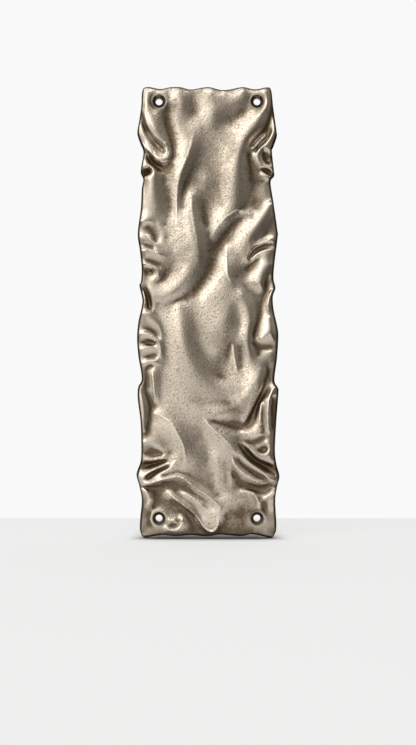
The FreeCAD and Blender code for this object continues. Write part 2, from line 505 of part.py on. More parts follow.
def on_plate(x, y):
    """The plate's x and z for a point of the front view."""
    return (x - view_middle_x) * view_scale_x, (view_middle_y - y) * view_scale_z


def smooth_line(points, spacing):
    """Points along a smooth curve through the given ones, about one spacing apart."""
    first = tuple(2 * a - b for a, b in zip(points[0], points[1]))
    last = tuple(2 * a - b for a, b in zip(points[-1], points[-2]))
    guides = (first,) + tuple(points) + (last,)
    line = []
    for p, q, r, s in zip(guides, guides[1:], guides[2:], guides[3:]):
        steps = int(hypot(r[0] - q[0], r[1] - q[1]) / spacing) + 1
        for step in range(steps):
            t = step / steps
            line.append(tuple(
                b + 0.5 * t * (c - a + t * (2 * a - 5 * b + 4 * c - d + t * (3 * (b - c) + d - a)))
                for a, b, c, d in zip(p, q, r, s)
            ))
    line.append(tuple(points[-1]))
    return line


def on_edge(edge, spacing):
    """An edge of the outline as points on the plate."""
    return smooth_line([on_plate(x, y) for x, y in edge], spacing)


def screw_centres():
    """Centres of the four screw holes, as x and z."""
    x = plate_width / 2 - hole_margin_side
    top = plate_height / 2 - hole_margin_top
    bottom = hole_margin_bottom - plate_height / 2
    return [(side, z) for z in (top, bottom) for side in (-x, x)]


def bell(radius):
    """Weights that fall away as a bell from the middle one, for a radius in sheet steps."""
    reach = int(3 * radius) + 1
    weights = [exp(-0.5 * (k / radius) ** 2) for k in range(-reach, reach + 1)]
    return [weight / sum(weights) for weight in weights]


def softened_rows(grid, weights):
    """A grid with each row averaged along itself."""
    reach = len(weights) // 2
    rows = []
    for row in grid:
        wide = row[:1] * reach + row + row[-1:] * reach
        rows.append([
            sum(weight * wide[c + k] for k, weight in enumerate(weights)) for c in range(len(row))
        ])
    return rows


def softened(grid, radius):
    """A grid softened both ways."""
    weights = bell(radius)
    columns = [list(column) for column in zip(*softened_rows(grid, weights))]
    return [list(row) for row in zip(*softened_rows(columns, weights))]


class Sheet:
    """A sheet stretched over the fold lines, the rim and the screw flats: the face's height."""

    def __init__(self):
        self.across = int(plate_width / sheet_step) + 3
        self.up = int(plate_height / sheet_step) + 3
        self.left = -(self.across - 1) * sheet_step / 2
        self.low = -(self.up - 1) * sheet_step / 2
        self.pinned = {}
        self.pin_folds()
        self.pin_rim()
        self.pin_screw_flats()
        self.height = self.joined()
        self.level_screw_flats()

    def cell(self, x, z):
        """The sheet's nearest node to a point."""
        column = round((x - self.left) / sheet_step)
        row = round((z - self.low) / sheet_step)
        return max(0, min(self.up - 1, row)), max(0, min(self.across - 1, column))

    def pin(self, samples):
        """Hold the sheet at the mean of the samples that fall on each node."""
        gathered = {}
        for x, z, height in samples:
            gathered.setdefault(self.cell(x, z), []).append(height)
        for node, heights in gathered.items():
            self.pinned[node] = sum(heights) / len(heights)

    def pin_folds(self):
        samples = []
        for group in FOLD_GROUPS:
            for line in group.values():
                points = []
                for x, y, height in line:
                    above_face = (height - DRAWN_FACE) * relief_scale
                    points.append(on_plate(x, y) + (face_thickness + above_face,))
                samples += smooth_line(points, sheet_step / 3)
        self.pin(samples)

    def pin_rim(self):
        for edge, thickness in (
            (LEFT_EDGE, rim_thickness),
            (RIGHT_EDGE, rim_thickness),
            (TOP_EDGE, end_rim_thickness),
            (FOOT_EDGE, end_rim_thickness),
        ):
            self.pin([(x, z, thickness) for x, z in on_edge(edge, sheet_step / 3)])

    def from_screw(self, row, column):
        """How far a node is from the middle of the nearest screw hole."""
        x, z = self.left + column * sheet_step, self.low + row * sheet_step
        return min(hypot(x - a, z - b) for a, b in screw_centres())

    def pin_screw_flats(self):
        for row in range(self.up):
            for column in range(self.across):
                if self.from_screw(row, column) <= flat_radius:
                    self.pinned[row, column] = face_thickness

    def stretched(self, height):
        """What a height leaves out at the pinned nodes, stretched over all the others."""
        rest = [[0.0] * self.across for _ in range(self.up)]
        for (row, column), value in self.pinned.items():
            rest[row][column] = value - height[row][column]
        free = [
            [c for c in range(1, self.across - 1) if (r, c) not in self.pinned]
            for r in range(self.up)
        ]
        for _ in range(sheet_passes):
            for row in range(1, self.up - 1):
                below, here, above = rest[row - 1], rest[row], rest[row + 1]
                for c in free[row]:
                    mean = (below[c] + above[c] + here[c - 1] + here[c + 1]) / 4
                    here[c] += sheet_push * (mean - here[c])
                here[0], here[-1] = here[1], here[-2]
            rest[0], rest[-1] = rest[1][:], rest[-2][:]
        return rest

    def joined(self):
        """The fold lines joined by a sheet with rounded crests and valleys."""
        height = [[face_thickness] * self.across for _ in range(self.up)]
        for radius in softening_radii:
            more = softened(self.stretched(height), radius / sheet_step)
            height = [[a + b for a, b in zip(*rows)] for rows in zip(height, more)]
        return height

    def level_screw_flats(self):
        """Level the flats round the screws, and ease them into the folds."""
        for row, heights in enumerate(self.height):
            for column, height in enumerate(heights):
                away = self.from_screw(row, column)
                share = max(0.0, min(1.0, 1 - (away - flat_radius) / screw_flat_blend))
                share *= share * (3 - 2 * share)
                heights[column] += share * (face_thickness - height)

    def at(self, x, z):
        """The sheet's height at a point, between its four nearest nodes."""
        column = (x - self.left) / sheet_step
        row = (z - self.low) / sheet_step
        c = max(0, min(self.across - 2, int(column)))
        r = max(0, min(self.up - 2, int(row)))
        u, v = column - c, row - r
        low = self.height[r][c] * (1 - u) + self.height[r][c + 1] * u
        high = self.height[r + 1][c] * (1 - u) + self.height[r + 1][c + 1] * u
        return low * (1 - v) + high * v


class Outline:
    """The plate's wavy outline, and the net of points stretched between its four edges."""

    def __init__(self):
        self.left = self.by_share(on_edge(LEFT_EDGE, sheet_step), 1)
        self.right = self.by_share(on_edge(RIGHT_EDGE, sheet_step), 1)
        self.top = self.by_share(on_edge(TOP_EDGE, sheet_step), 0)
        self.foot = self.by_share(on_edge(FOOT_EDGE, sheet_step), 0)

    @staticmethod
    def by_share(line, axis):
        """An edge with the share of its run at each point, measured along one axis."""
        start, run = line[0][axis], line[-1][axis] - line[0][axis]
        return [(point[axis] - start) / run for point in line], line

    @staticmethod
    def along(edge, share):
        """The point of an edge at a share of its run."""
        run_shares, line = edge
        i = max(1, min(len(line) - 1, bisect_right(run_shares, share)))
        t = (share - run_shares[i - 1]) / (run_shares[i] - run_shares[i - 1])
        return [a + (b - a) * t for a, b in zip(line[i - 1], line[i])]

    def inside(self, s, t):
        """The point at shares s across and t down, with the edges' waves dying away inwards."""
        left, right = self.along(self.left, t), self.along(self.right, t)
        top, foot = self.along(self.top, s), self.along(self.foot, s)
        corners = (self.left[1][0], self.right[1][0], self.left[1][-1], self.right[1][-1])
        point = []
        for axis in (0, 1):
            sides = (1 - s) * left[axis] + s * right[axis]
            ends = (1 - t) * top[axis] + t * foot[axis]
            a, b, c, d = (corner[axis] for corner in corners)
            point.append(sides + ends - (1 - t) * ((1 - s) * a + s * b) - t * ((1 - s) * c + s * d))
        return point


# The rim's section, from the door to the face: how far in each ring lies, and how far
# below the face. The first ring stands on the door.
quarter = rim_radius * (1 - sqrt(0.5))
rings_in = (0.0, side_draft, side_draft + quarter, side_draft + rim_radius)
rings_down = (None, rim_radius, quarter)


def net_shares(count, length, crowding):
    """Shares of a length for the net's lines: the rim's rings at both ends, the face between."""
    ends = [ring / length for ring in rings_in]
    spaces = count + 1 - 2 * len(ends)
    face = []
    for k in range(1, spaces):
        turn = 2 * pi * k / spaces
        face.append(ends[-1] + (1 - 2 * ends[-1]) * (turn - crowding * sin(turn)) / (2 * pi))
    return ends + face + [1 - share for share in reversed(ends)]


def casting_net():
    """The casting's skin as rows of points, from the door over the rim and across the face."""
    sheet, outline = Sheet(), Outline()
    across = net_shares(points_across, plate_width, side_crowding)
    down = net_shares(points_down, plate_height, 0.0)
    rim = len(rings_down)
    net = []
    for i, t in enumerate(down):
        net.append([])
        for j, s in enumerate(across):
            ring = min(i, j, points_down - 1 - i, points_across - 1 - j)
            x, z = outline.inside(s, t)
            face_s = min(max(s, across[rim]), across[-1 - rim])
            face_t = min(max(t, down[rim]), down[-1 - rim])
            depth = sheet.at(*outline.inside(face_s, face_t))
            if ring == 0:
                depth = 0.0
            elif ring < rim:
                depth -= rings_down[ring]
            net[-1].append(FreeCAD.Vector(x, -depth, z))
    return net


def facet(*corners):
    return Part.Face(Part.makePolygon(corners + corners[:1]))


def facet_pair(a, b, c, d):
    """Two facets in one cell of the net, parted along its shorter diagonal.

    At the plate's corners three of a cell's points stand on the door, and the facets part at
    the fourth, so that none lies in the back.
    """
    both_on_door = [p.y == 0 and q.y == 0 for p, q in ((a, c), (b, d))]
    if both_on_door[1] or not both_on_door[0] and (a - c).Length <= (b - d).Length:
        return [facet(a, c, b), facet(a, d, c)]
    return [facet(a, d, b), facet(b, d, c)]


def casting():
    """The plate without its holes: two facets in each cell of the net, and the flat back."""
    net = casting_net()
    facets = []
    for upper, lower in zip(net, net[1:]):
        for cell in zip(upper, upper[1:], lower[1:], lower):
            facets += facet_pair(*cell)
    right_side = [row[-1] for row in net[1:]]
    left_side = [row[0] for row in net[-2:0:-1]]
    facets.append(facet(*net[0], *right_side, *reversed(net[-1][:-1]), *left_side))
    shell = Part.makeShell(facets)
    shell.sewShape()
    return Part.makeSolid(shell)


def screw_hole(x, z):
    """A through hole with its countersink, along Y at one screw."""
    into_door = FreeCAD.Vector(0, 1, 0)
    slope = tan(radians(countersink_angle / 2))
    clear = face_thickness + relief_depth
    shank = Part.makeCylinder(
        screw_hole_radius, clear + face_thickness, FreeCAD.Vector(x, -clear, z), into_door
    )
    raised = relief_depth / 4
    sink_depth = (countersink_radius - screw_hole_radius) / slope
    sink = Part.makeCone(
        countersink_radius + raised * slope,
        screw_hole_radius,
        raised + sink_depth,
        FreeCAD.Vector(x, -face_thickness - raised, z),
        into_door,
    )
    return shank.fuse(sink)


def finger_plate():
    return casting().cut([screw_hole(x, z) for x, z in screw_centres()])


os.makedirs("parts", exist_ok=True)
plate = finger_plate()
plate.exportStep("parts/finger_plate.step")
print("solids", len(plate.Solids), "valid", plate.isValid(), "volume cm3", plate.Volume / 1000)
print("box", plate.BoundBox)
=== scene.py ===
import json
from math import radians, tan

import bmesh
import bpy
import numpy as np
from bpy.props import FloatProperty, FloatVectorProperty, IntProperty, PointerProperty
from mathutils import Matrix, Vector


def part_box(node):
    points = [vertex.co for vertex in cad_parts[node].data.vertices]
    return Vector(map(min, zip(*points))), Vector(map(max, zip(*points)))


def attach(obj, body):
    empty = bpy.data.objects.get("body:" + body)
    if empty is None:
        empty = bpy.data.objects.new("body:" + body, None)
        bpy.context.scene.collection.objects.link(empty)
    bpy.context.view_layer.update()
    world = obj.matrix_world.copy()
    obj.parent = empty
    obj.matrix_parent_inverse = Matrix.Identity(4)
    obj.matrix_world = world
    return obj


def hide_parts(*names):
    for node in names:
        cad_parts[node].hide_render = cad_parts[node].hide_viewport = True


bl_info = {
    "name": "Crumpled finger plate",
    "version": (1, 0, 0),
    "blender": (4, 5, 0),
    "location": "3D View > Sidebar > Finger Plate",
    "description": "Adds a cast finger plate with a crumpled face, and a stage to show it on",
    "category": "Add Mesh",
}

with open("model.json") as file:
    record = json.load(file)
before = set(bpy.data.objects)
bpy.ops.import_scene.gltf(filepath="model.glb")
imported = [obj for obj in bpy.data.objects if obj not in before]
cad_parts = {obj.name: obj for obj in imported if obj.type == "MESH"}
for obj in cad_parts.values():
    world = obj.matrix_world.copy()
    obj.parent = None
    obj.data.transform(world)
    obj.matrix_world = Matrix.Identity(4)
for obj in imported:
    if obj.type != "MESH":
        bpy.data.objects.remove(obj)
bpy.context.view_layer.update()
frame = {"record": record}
PLATE_NODE = "finger_plate"
PLATE_LOW, PLATE_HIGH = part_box(PLATE_NODE)
PLATE_SIZE = PLATE_HIGH - PLATE_LOW
SCREWS = next(m for m in frame["record"]["mounts"] if m["name"] == "screw_holes")
MM = 0.001

# The outline and the folds are given as points of the front view, in pixels of the
# reference picture. This frame maps them onto the plate: x runs right and y runs down.
VIEW_LEFT = 136.3
VIEW_RIGHT = 279.0
VIEW_TOP = 87.0
VIEW_FOOT = 536.3

# Fold heights are drawn in millimetres above the door, for a face that is 6 mm thick
# with 7 mm of relief.
DRAWN_FACE = 6.0
DRAWN_RELIEF = 7.0

LEFT_EDGE = (
    (143.5, 88.5), (141.8, 92), (141, 106), (139, 120), (137.1, 133), (140.2, 143.5),
    (143.2, 152), (141, 166), (140.6, 173), (143, 179.3), (141.5, 189), (140.5, 208),
    (137.5, 233), (139.6, 250), (141.4, 268), (140.7, 281), (139.2, 285), (142, 298),
    (141.5, 306), (138, 322), (136.8, 338), (138.2, 356), (141, 372), (141.2, 380),
    (137.9, 386.5), (137.5, 398), (140.2, 420), (141, 440), (140.6, 459), (137.3, 469),
    (136.3, 475), (139.2, 485.5), (141.5, 499), (140, 517), (139.6, 528), (141.5, 534.5),
)
RIGHT_EDGE = (
    (269.5, 88.6), (271.2, 92), (272.8, 107), (276, 130), (276.3, 136.5), (272.8, 147),
    (271.5, 151), (273.6, 171), (273.6, 176), (270.2, 182), (273.2, 203), (276.9, 229),
    (277.3, 236), (273.9, 264), (273.1, 278), (275, 287.5), (272.4, 296), (273.2, 309),
    (276.9, 326), (277.9, 336), (276.6, 357), (274, 379), (277.2, 386.5), (278, 392),
    (275.8, 422), (274.5, 450), (276.2, 464), (279, 475), (276.6, 486), (274.8, 500),
    (276, 526), (273.5, 535),
)
TOP_EDGE = (
    (143.5, 88.5), (146.5, 87.2), (151, 87.2), (161, 89), (171, 87.2), (181, 87.5),
    (191, 89.4), (207, 87.2), (223, 90.3), (241, 87.4), (254, 89.3), (266, 87.3),
    (269.5, 88.6),
)
FOOT_EDGE = (
    (141.5, 534.5), (144, 536.2), (149, 536), (162, 534), (176, 535), (191, 534),
    (206, 535.2), (220, 533.6), (240, 535), (252, 533.3), (267, 536.3), (271, 536.3),
    (273.5, 535),
)

# Each fold line is a crest, a valley or a shoulder: points (x, y, height).
TOP_FOLDS = {
    "left corner": ((147, 93, 6.4), (146.5, 103, 6.6), (148, 111, 6.9)),
    "left crest": (
        (149, 113, 7.0), (151.5, 122, 7.4), (154.5, 130, 7.6), (157.5, 136, 7.3), (160.5, 140.5, 7.1),
    ),
    "left valley": (
        (167, 93, 5.7), (166.5, 103, 5.4), (166.5, 115, 4.9), (168, 126, 4.6), (170.5, 136, 4.7),
        (172.5, 145, 5.0), (173, 155, 5.6), (171.5, 163, 6.2),
    ),
    "left valley shoulder": (
        (175, 108, 5.7), (177, 122, 5.6), (179.5, 134, 5.9), (180.5, 144, 6.3), (178.5, 154, 6.6),
    ),
    "hanging crest": ((179, 91, 6.9), (181, 98, 7.1), (181.5, 105, 7.0), (181, 112, 6.2)),
    "hanging valley": (
        (192, 92, 5.3), (193, 99, 5.2), (193.5, 107, 5.2), (193, 114, 5.2), (189, 121, 5.5),
    ),
    "middle crest": (
        (211, 91, 6.8), (212, 99, 7.0), (213, 107, 7.4), (213, 115, 7.4), (211.5, 127, 6.8),
    ),
    "cross crest": (
        (213, 104.5, 7.3), (221, 104, 7.1), (229, 104.3, 7.0), (236, 102.5, 7.0), (241, 98, 7.1),
        (243, 91, 7.1),
    ),
    "cross dip": ((224, 93, 6.6), (228, 98, 6.8)),
    "cross valley": (
        (220, 124, 6.0), (226, 122.5, 5.4), (232, 121, 5.2), (239, 116, 5.4), (246, 109, 5.8),
    ),
    "right corner": ((265, 92, 6.5), (265.3, 101, 6.6), (264.5, 110, 6.9)),
}
UPPER_FOLDS = {
    "long crest": (
        (261, 113, 7.1), (260, 120, 7.6), (256, 128, 8.1), (250.5, 135, 8.3), (245, 143, 8.6),
        (240.5, 152, 8.9), (238, 163, 9.0), (235.5, 175, 8.7), (234, 187, 8.2), (234.5, 198, 7.5),
        (236, 206, 6.8),
    ),
    "long slope": (
        (231, 131, 6.3), (226, 140, 6.5), (222, 150, 6.3), (219.5, 160, 6.0), (218, 172, 5.7),
        (217.5, 184, 5.5), (219, 196, 5.5), (221.5, 206, 5.8),
    ),
    "right valley": (
        (248.5, 155, 5.3), (252, 165, 4.9), (253, 177, 4.7), (252.5, 189, 4.7), (249.5, 200, 4.8),
        (245, 207.5, 5.0), (238, 212, 5.3),
    ),
    "leaf crest": (
        (194, 131, 6.5), (193, 138, 6.9), (191, 147, 7.4), (188, 156, 7.8), (184.5, 165, 8.0),
        (181, 174, 7.9), (178.5, 184, 7.3), (177, 196, 6.8), (176.5, 210, 6.7), (176.8, 226, 6.9),
    ),
    "leaf valley": (
        (204, 137, 6.0), (202.5, 146, 5.7), (198.5, 156, 5.5), (194, 166, 5.4), (188.5, 177, 5.3),
        (184, 188, 5.4), (182, 199, 5.8), (182.5, 209, 6.4),
    ),
    "inner crest": (
        (191.5, 194, 6.3), (191.5, 203, 6.9), (192, 212, 7.6), (193.5, 221, 8.4),
        (195.5, 232, 9.0), (197, 242, 9.1), (198.3, 250, 8.8),
    ),
    "inner valley": (
        (205, 178, 5.5), (205, 189, 5.2), (204, 200, 4.8), (204, 210, 4.7), (205, 219, 5.0),
        (207, 227, 5.5),
    ),
    "left hollow": (
        (163, 174, 5.3), (165.5, 186, 5.3), (168.5, 198, 5.1), (170.5, 209, 5.1), (167, 217, 5.2),
    ),
    "left edge crest": ((152.3, 181, 7.7), (152.5, 190, 7.4), (153.5, 199, 6.9), (157, 208, 6.3)),
}
LEFT_ROLLS = {
    "left groove": (
        (141, 112, 4.7), (142.3, 120, 4.5), (145, 128.5, 4.3), (149.5, 136.5, 4.1), (154, 142, 3.9),
        (157.5, 146, 4.0),
    ),
    "left groove lip": (
        (143.8, 111, 6.0), (145.6, 119, 6.1), (148.2, 127, 6.2), (152, 133.5, 6.5),
        (156.5, 138.8, 6.8), (161, 142.3, 6.9), (165, 145.5, 7.0), (167, 150, 7.0),
        (165.3, 154.5, 7.0), (161, 155.8, 6.8), (157.3, 154, 6.5), (155.5, 150, 6.2),
    ),
    "left loop": ((159.5, 147, 4.7), (161.5, 149, 4.4), (163, 151.5, 4.7)),
    "left flap": (
        (140.2, 121, 5.3), (141.6, 129, 6.0), (145, 137.5, 6.4), (149.5, 143.5, 6.5),
        (153.5, 148, 6.5),
    ),
    "left roll": (
        (144, 147.5, 5.9), (149.5, 152, 6.7), (154.5, 157.5, 7.3), (159, 161.7, 7.6),
        (164, 162.7, 7.6), (168.3, 159.5, 7.5), (170.2, 154, 7.3),
    ),
    "under left roll": (
        (147, 155.5, 4.3), (150, 160.5, 3.4), (154.5, 165.3, 3.4), (160.5, 168.3, 4.2),
        (167, 166.8, 5.0), (171.5, 162, 5.6),
    ),
    "left dimple edge": ((142.8, 155, 5.6), (144.5, 159, 6.2), (146.5, 163.5, 6.4)),
    "second left roll": (
        (142, 168.3, 6.2), (146, 166.6, 6.8), (150.5, 167.3, 7.4), (154, 170, 7.7),
        (155.5, 174.5, 7.7),
    ),
    "left hole": ((142.8, 176, 2.6), (145.5, 173.3, 2.2), (149, 171.5, 3.2)),
    "left hole lip": ((144, 179, 5.6), (147.5, 176.5, 6.4), (151, 174.8, 6.8)),
}
RIGHT_ROLLS = {
    "right groove": (
        (271, 105, 4.9), (270.6, 113, 4.6), (269.7, 122, 4.3), (266.5, 129.5, 4.1),
        (261.5, 135.5, 4.1), (256, 140.5, 4.2), (251, 146.5, 4.4),
    ),
    "right groove fold": (
        (265, 136, 5.1), (259.7, 140.8, 5.7), (255.3, 145.3, 6.0), (252.3, 150, 6.0),
    ),
    "second right groove": (
        (270.3, 130.5, 4.4), (266.5, 137, 4.2), (262, 142.7, 4.1), (257.5, 147, 4.1),
        (254.7, 151.5, 4.3),
    ),
    "right flap": (
        (273.2, 118, 5.0), (273.8, 126, 5.6), (272, 134, 6.2), (268.5, 140.5, 6.4),
        (264, 145, 6.6), (259, 149, 6.7), (256.2, 154, 6.8), (256.8, 160, 6.8), (259.8, 166, 6.7),
    ),
    "right pocket top": ((263, 150.7, 6.0), (267, 149, 6.4), (270.3, 150.8, 6.2)),
    "right pocket": ((264, 155, 3.8), (266.3, 159, 3.3), (267, 163, 3.6)),
    "third right roll": (
        (261, 167.2, 6.4), (265, 166.3, 6.6), (269.3, 168.3, 6.6), (272, 171.5, 6.0),
    ),
    "right small groove": ((262.5, 170.3, 4.6), (266.3, 171.8, 3.9), (270, 174.5, 3.9)),
    "fourth right roll": ((261.5, 172.5, 5.9), (265, 175.5, 6.4), (268.7, 178.5, 6.3)),
}
LEFT_POCKETS = {
    "first pocket top": ((141.5, 221.5, 6.5), (145.5, 220.8, 6.6), (149.5, 222.3, 6.3)),
    "first pocket": ((147, 226, 4.9), (151, 230.5, 4.6), (154, 236, 4.5), (155.5, 241, 4.6)),
    "first pocket side": ((156.5, 221, 6.0), (160.5, 227, 6.1), (163, 234, 6.0), (163.5, 241, 5.9)),
    "first ridge": (
        (141.5, 236, 5.7), (147, 239.3, 6.0), (152, 242, 6.0), (157, 245.3, 5.9), (162, 249, 5.7),
    ),
    "second pocket": ((142.5, 244, 4.8), (147, 246, 4.9), (152.5, 248.3, 5.2)),
    "second ridge": ((142, 250.4, 6.1), (148, 249.8, 6.4), (154, 251.8, 6.5), (161, 255.5, 6.2)),
    "third pocket": ((145, 260, 5.0), (152, 263, 4.9), (159.5, 265.5, 4.7)),
    "third ridge": (
        (142.5, 262.3, 5.5), (147, 264.2, 6.0), (152.5, 266.3, 6.3), (157, 269.6, 6.3),
        (158.7, 274.3, 6.0), (155, 279, 5.7),
    ),
    "fourth pocket": ((144.5, 268.5, 4.4), (148.3, 270.3, 3.7), (151.7, 272.8, 4.1)),
    "edge groove": ((141.5, 286, 4.5), (145.5, 291, 3.4), (148, 299, 3.0), (149.5, 307, 3.2)),
    "groove sliver": ((142.8, 292, 5.2), (144.7, 299, 5.6), (145, 307, 5.3)),
    "groove lip": ((148.5, 287, 5.1), (151, 294, 5.2), (152.7, 301, 5.0), (154, 309, 4.7)),
    "fifth pocket top": (
        (143, 312.3, 6.1), (147.5, 311.8, 6.2), (153, 315.3, 6.0), (157.5, 321, 5.8),
        (160.3, 328, 5.7), (161.5, 336, 5.5),
    ),
    "fifth pocket": ((142.5, 328, 5.0), (148.5, 329.3, 4.7), (154, 332, 4.4), (158, 337, 4.3)),
    "fifth ridge": (
        (141.5, 332.8, 5.9), (147, 333.4, 6.0), (153, 336, 6.0), (157.8, 340, 6.0),
        (160.4, 346, 5.9), (160.7, 353, 5.7), (158, 359, 5.4),
    ),
    "sixth pocket": ((142.5, 341.5, 4.2), (148, 342.3, 3.5), (153.7, 342.5, 3.6)),
    "sixth ridge": (
        (141.3, 348.5, 5.5), (146, 346.3, 5.7), (151.5, 346.6, 5.6), (155.5, 348.3, 5.1),
    ),
    "seventh pocket": ((144.5, 357.3, 4.9), (150, 356.8, 4.3), (155.5, 355.3, 4.4)),
    "seventh ridge": ((144.8, 363, 5.8), (148, 361, 6.0), (153, 360.3, 6.1), (156.5, 361.3, 5.9)),
    "seventh hollow": ((147, 366.5, 4.1), (151, 364.8, 4.1)),
    "upright slot": ((146.8, 371, 4.2), (147, 379, 3.9), (147, 387, 3.8)),
    "upright crest": ((152.3, 370, 5.7), (153.4, 380, 5.9), (154.3, 390, 5.8), (155.2, 400, 5.4)),
    "upright valley": ((160.5, 368, 5.0), (161.5, 380, 5.1), (161, 392, 5.1), (159.5, 408, 5.1)),
    "tall flap": (
        (139.3, 388, 5.0), (141.8, 396, 5.8), (143, 405, 6.1), (143, 417, 6.0), (142.6, 430, 5.7),
    ),
    "tall flap groove": (
        (142, 386, 4.8), (146, 392, 4.2), (150, 399, 3.8), (152.3, 406, 3.8), (150.5, 414, 4.2),
        (148, 423, 4.4), (147, 433, 4.8),
    ),
    "eighth pocket top": ((142.5, 441.3, 5.9), (149, 440, 6.3), (156, 442.3, 6.4), (161.5, 447.5, 6.3)),
    "eighth pocket": ((144, 447.5, 5.0), (151.5, 447, 4.8), (158.5, 449.5, 4.9)),
    "eighth pocket foot": ((144.5, 453.6, 4.8), (153, 454.3, 4.7), (161, 453, 4.8)),
    "eighth ridge": ((142.3, 457, 6.1), (150, 457.8, 6.4), (158, 457.2, 6.5), (165, 455.6, 6.5)),
}
TONGUE_FOLDS = {
    "upper rise": ((165, 225, 5.4), (174, 226, 6.4), (183, 227, 7.7)),
    "middle rise": ((167, 238, 5.6), (176, 238, 6.9), (185, 238, 8.1)),
    "lower rise": ((176, 252, 6.5), (184, 252, 7.4), (191, 252, 8.2)),
    "tongue channel": (
        (172.5, 248, 6.1), (171.5, 256, 5.5), (169.5, 264, 4.9), (166.5, 272, 4.6),
        (162, 279, 4.7), (156, 283.5, 5.4),
    ),
    "tongue crest": (
        (150, 283, 5.2), (153.5, 289, 5.6), (158.5, 294.3, 6.0), (165, 296.5, 6.5), (173, 293, 6.9),
        (181, 285.5, 6.9), (188, 276.5, 7.1), (193.5, 266.5, 7.4), (197, 257.5, 8.1),
        (198.3, 250, 8.8),
    ),
    "tongue middle": ((183, 262, 6.6), (178, 272, 6.0), (171, 282, 5.9)),
    "under tongue": (
        (158, 302, 4.8), (167, 303, 5.3), (178, 300.5, 5.2), (188, 295, 4.7), (198, 286.5, 4.1),
        (206, 276, 3.8), (211, 266, 4.0), (215, 257, 4.2), (219.5, 249.5, 4.1), (223, 242.5, 3.9),
        (226.5, 235.5, 4.0), (230.5, 229, 4.2), (235, 223, 4.6), (240, 218.5, 5.0),
    ),
    "channel head": ((209, 233, 5.8), (209, 243, 5.6), (208, 254, 5.2)),
    "rough ridge": (
        (211, 238, 5.7), (215, 231, 6.2), (219.5, 225, 6.8), (224.5, 219.5, 7.3), (230.5, 215, 7.0),
        (237, 211.5, 6.4), (245, 213.3, 5.8), (252.5, 217.5, 6.0),
    ),
    "broad ridge": (
        (273, 202, 5.6), (269, 209, 6.8), (263.5, 216, 7.6), (258, 223, 8.0),
        (252.8, 231.5, 8.1), (249.3, 240, 7.9), (246.8, 249, 7.4), (245.5, 257, 6.8),
    ),
    "right valley side": (
        (262, 181, 4.9), (263.5, 190, 5.0), (262.5, 199, 5.1), (257, 208, 5.4), (250, 214, 5.9),
    ),
    "ridge slope": ((242, 232, 7.0), (238, 240, 6.8), (234, 249, 6.4), (231, 257, 6.3)),
    "centre knuckle": (
        (225.5, 246, 5.4), (226, 256, 6.1), (226.5, 266, 6.6), (228, 276, 6.8), (233, 286, 6.7),
    ),
    "centre plain": ((206, 298, 6.6), (214, 288, 6.4), (221, 278, 6.5)),
    "right hollow": ((271, 222, 5.2), (268.5, 231, 5.1), (262, 237.5, 5.2), (255, 242, 5.4)),
    "slot top": (
        (272.5, 239.5, 6.0), (266, 241.3, 6.3), (259, 243.8, 6.6), (253, 247.5, 6.9),
        (248.7, 252.3, 7.0), (246.2, 258.5, 6.8),
    ),
    "slot": (
        (271, 244.3, 4.9), (264.5, 246, 4.5), (257.5, 249, 4.3), (252.3, 253, 4.3),
        (249.3, 257.5, 4.6),
    ),
    "slot foot": (
        (272, 249.5, 5.9), (265, 250.2, 6.0), (259, 252.3, 6.0), (254, 256, 5.8),
        (250.3, 261, 5.2),
    ),
    "under slot": ((257, 259, 5.2), (252, 264, 4.4), (247.5, 269.5, 4.2), (241, 272, 4.8)),
    "before slot": ((240, 258, 6.4), (236, 265, 6.1)),
    "lobe": ((266, 256, 6.6), (262.5, 264, 6.9), (259, 273, 7.0), (256.5, 283, 6.8)),
    "lobe edge": ((270, 264, 6.9), (265.7, 268.5, 7.0), (263.3, 275, 6.8), (260.3, 286, 6.5)),
    "lobe pocket": ((268.5, 275, 5.0), (265.5, 281.5, 4.3), (264, 286, 4.4)),
    "under lobe": (
        (236, 277, 5.2), (242, 283, 4.9), (248.5, 290.5, 4.6), (255, 296, 4.4), (260, 299, 4.2),
    ),
}
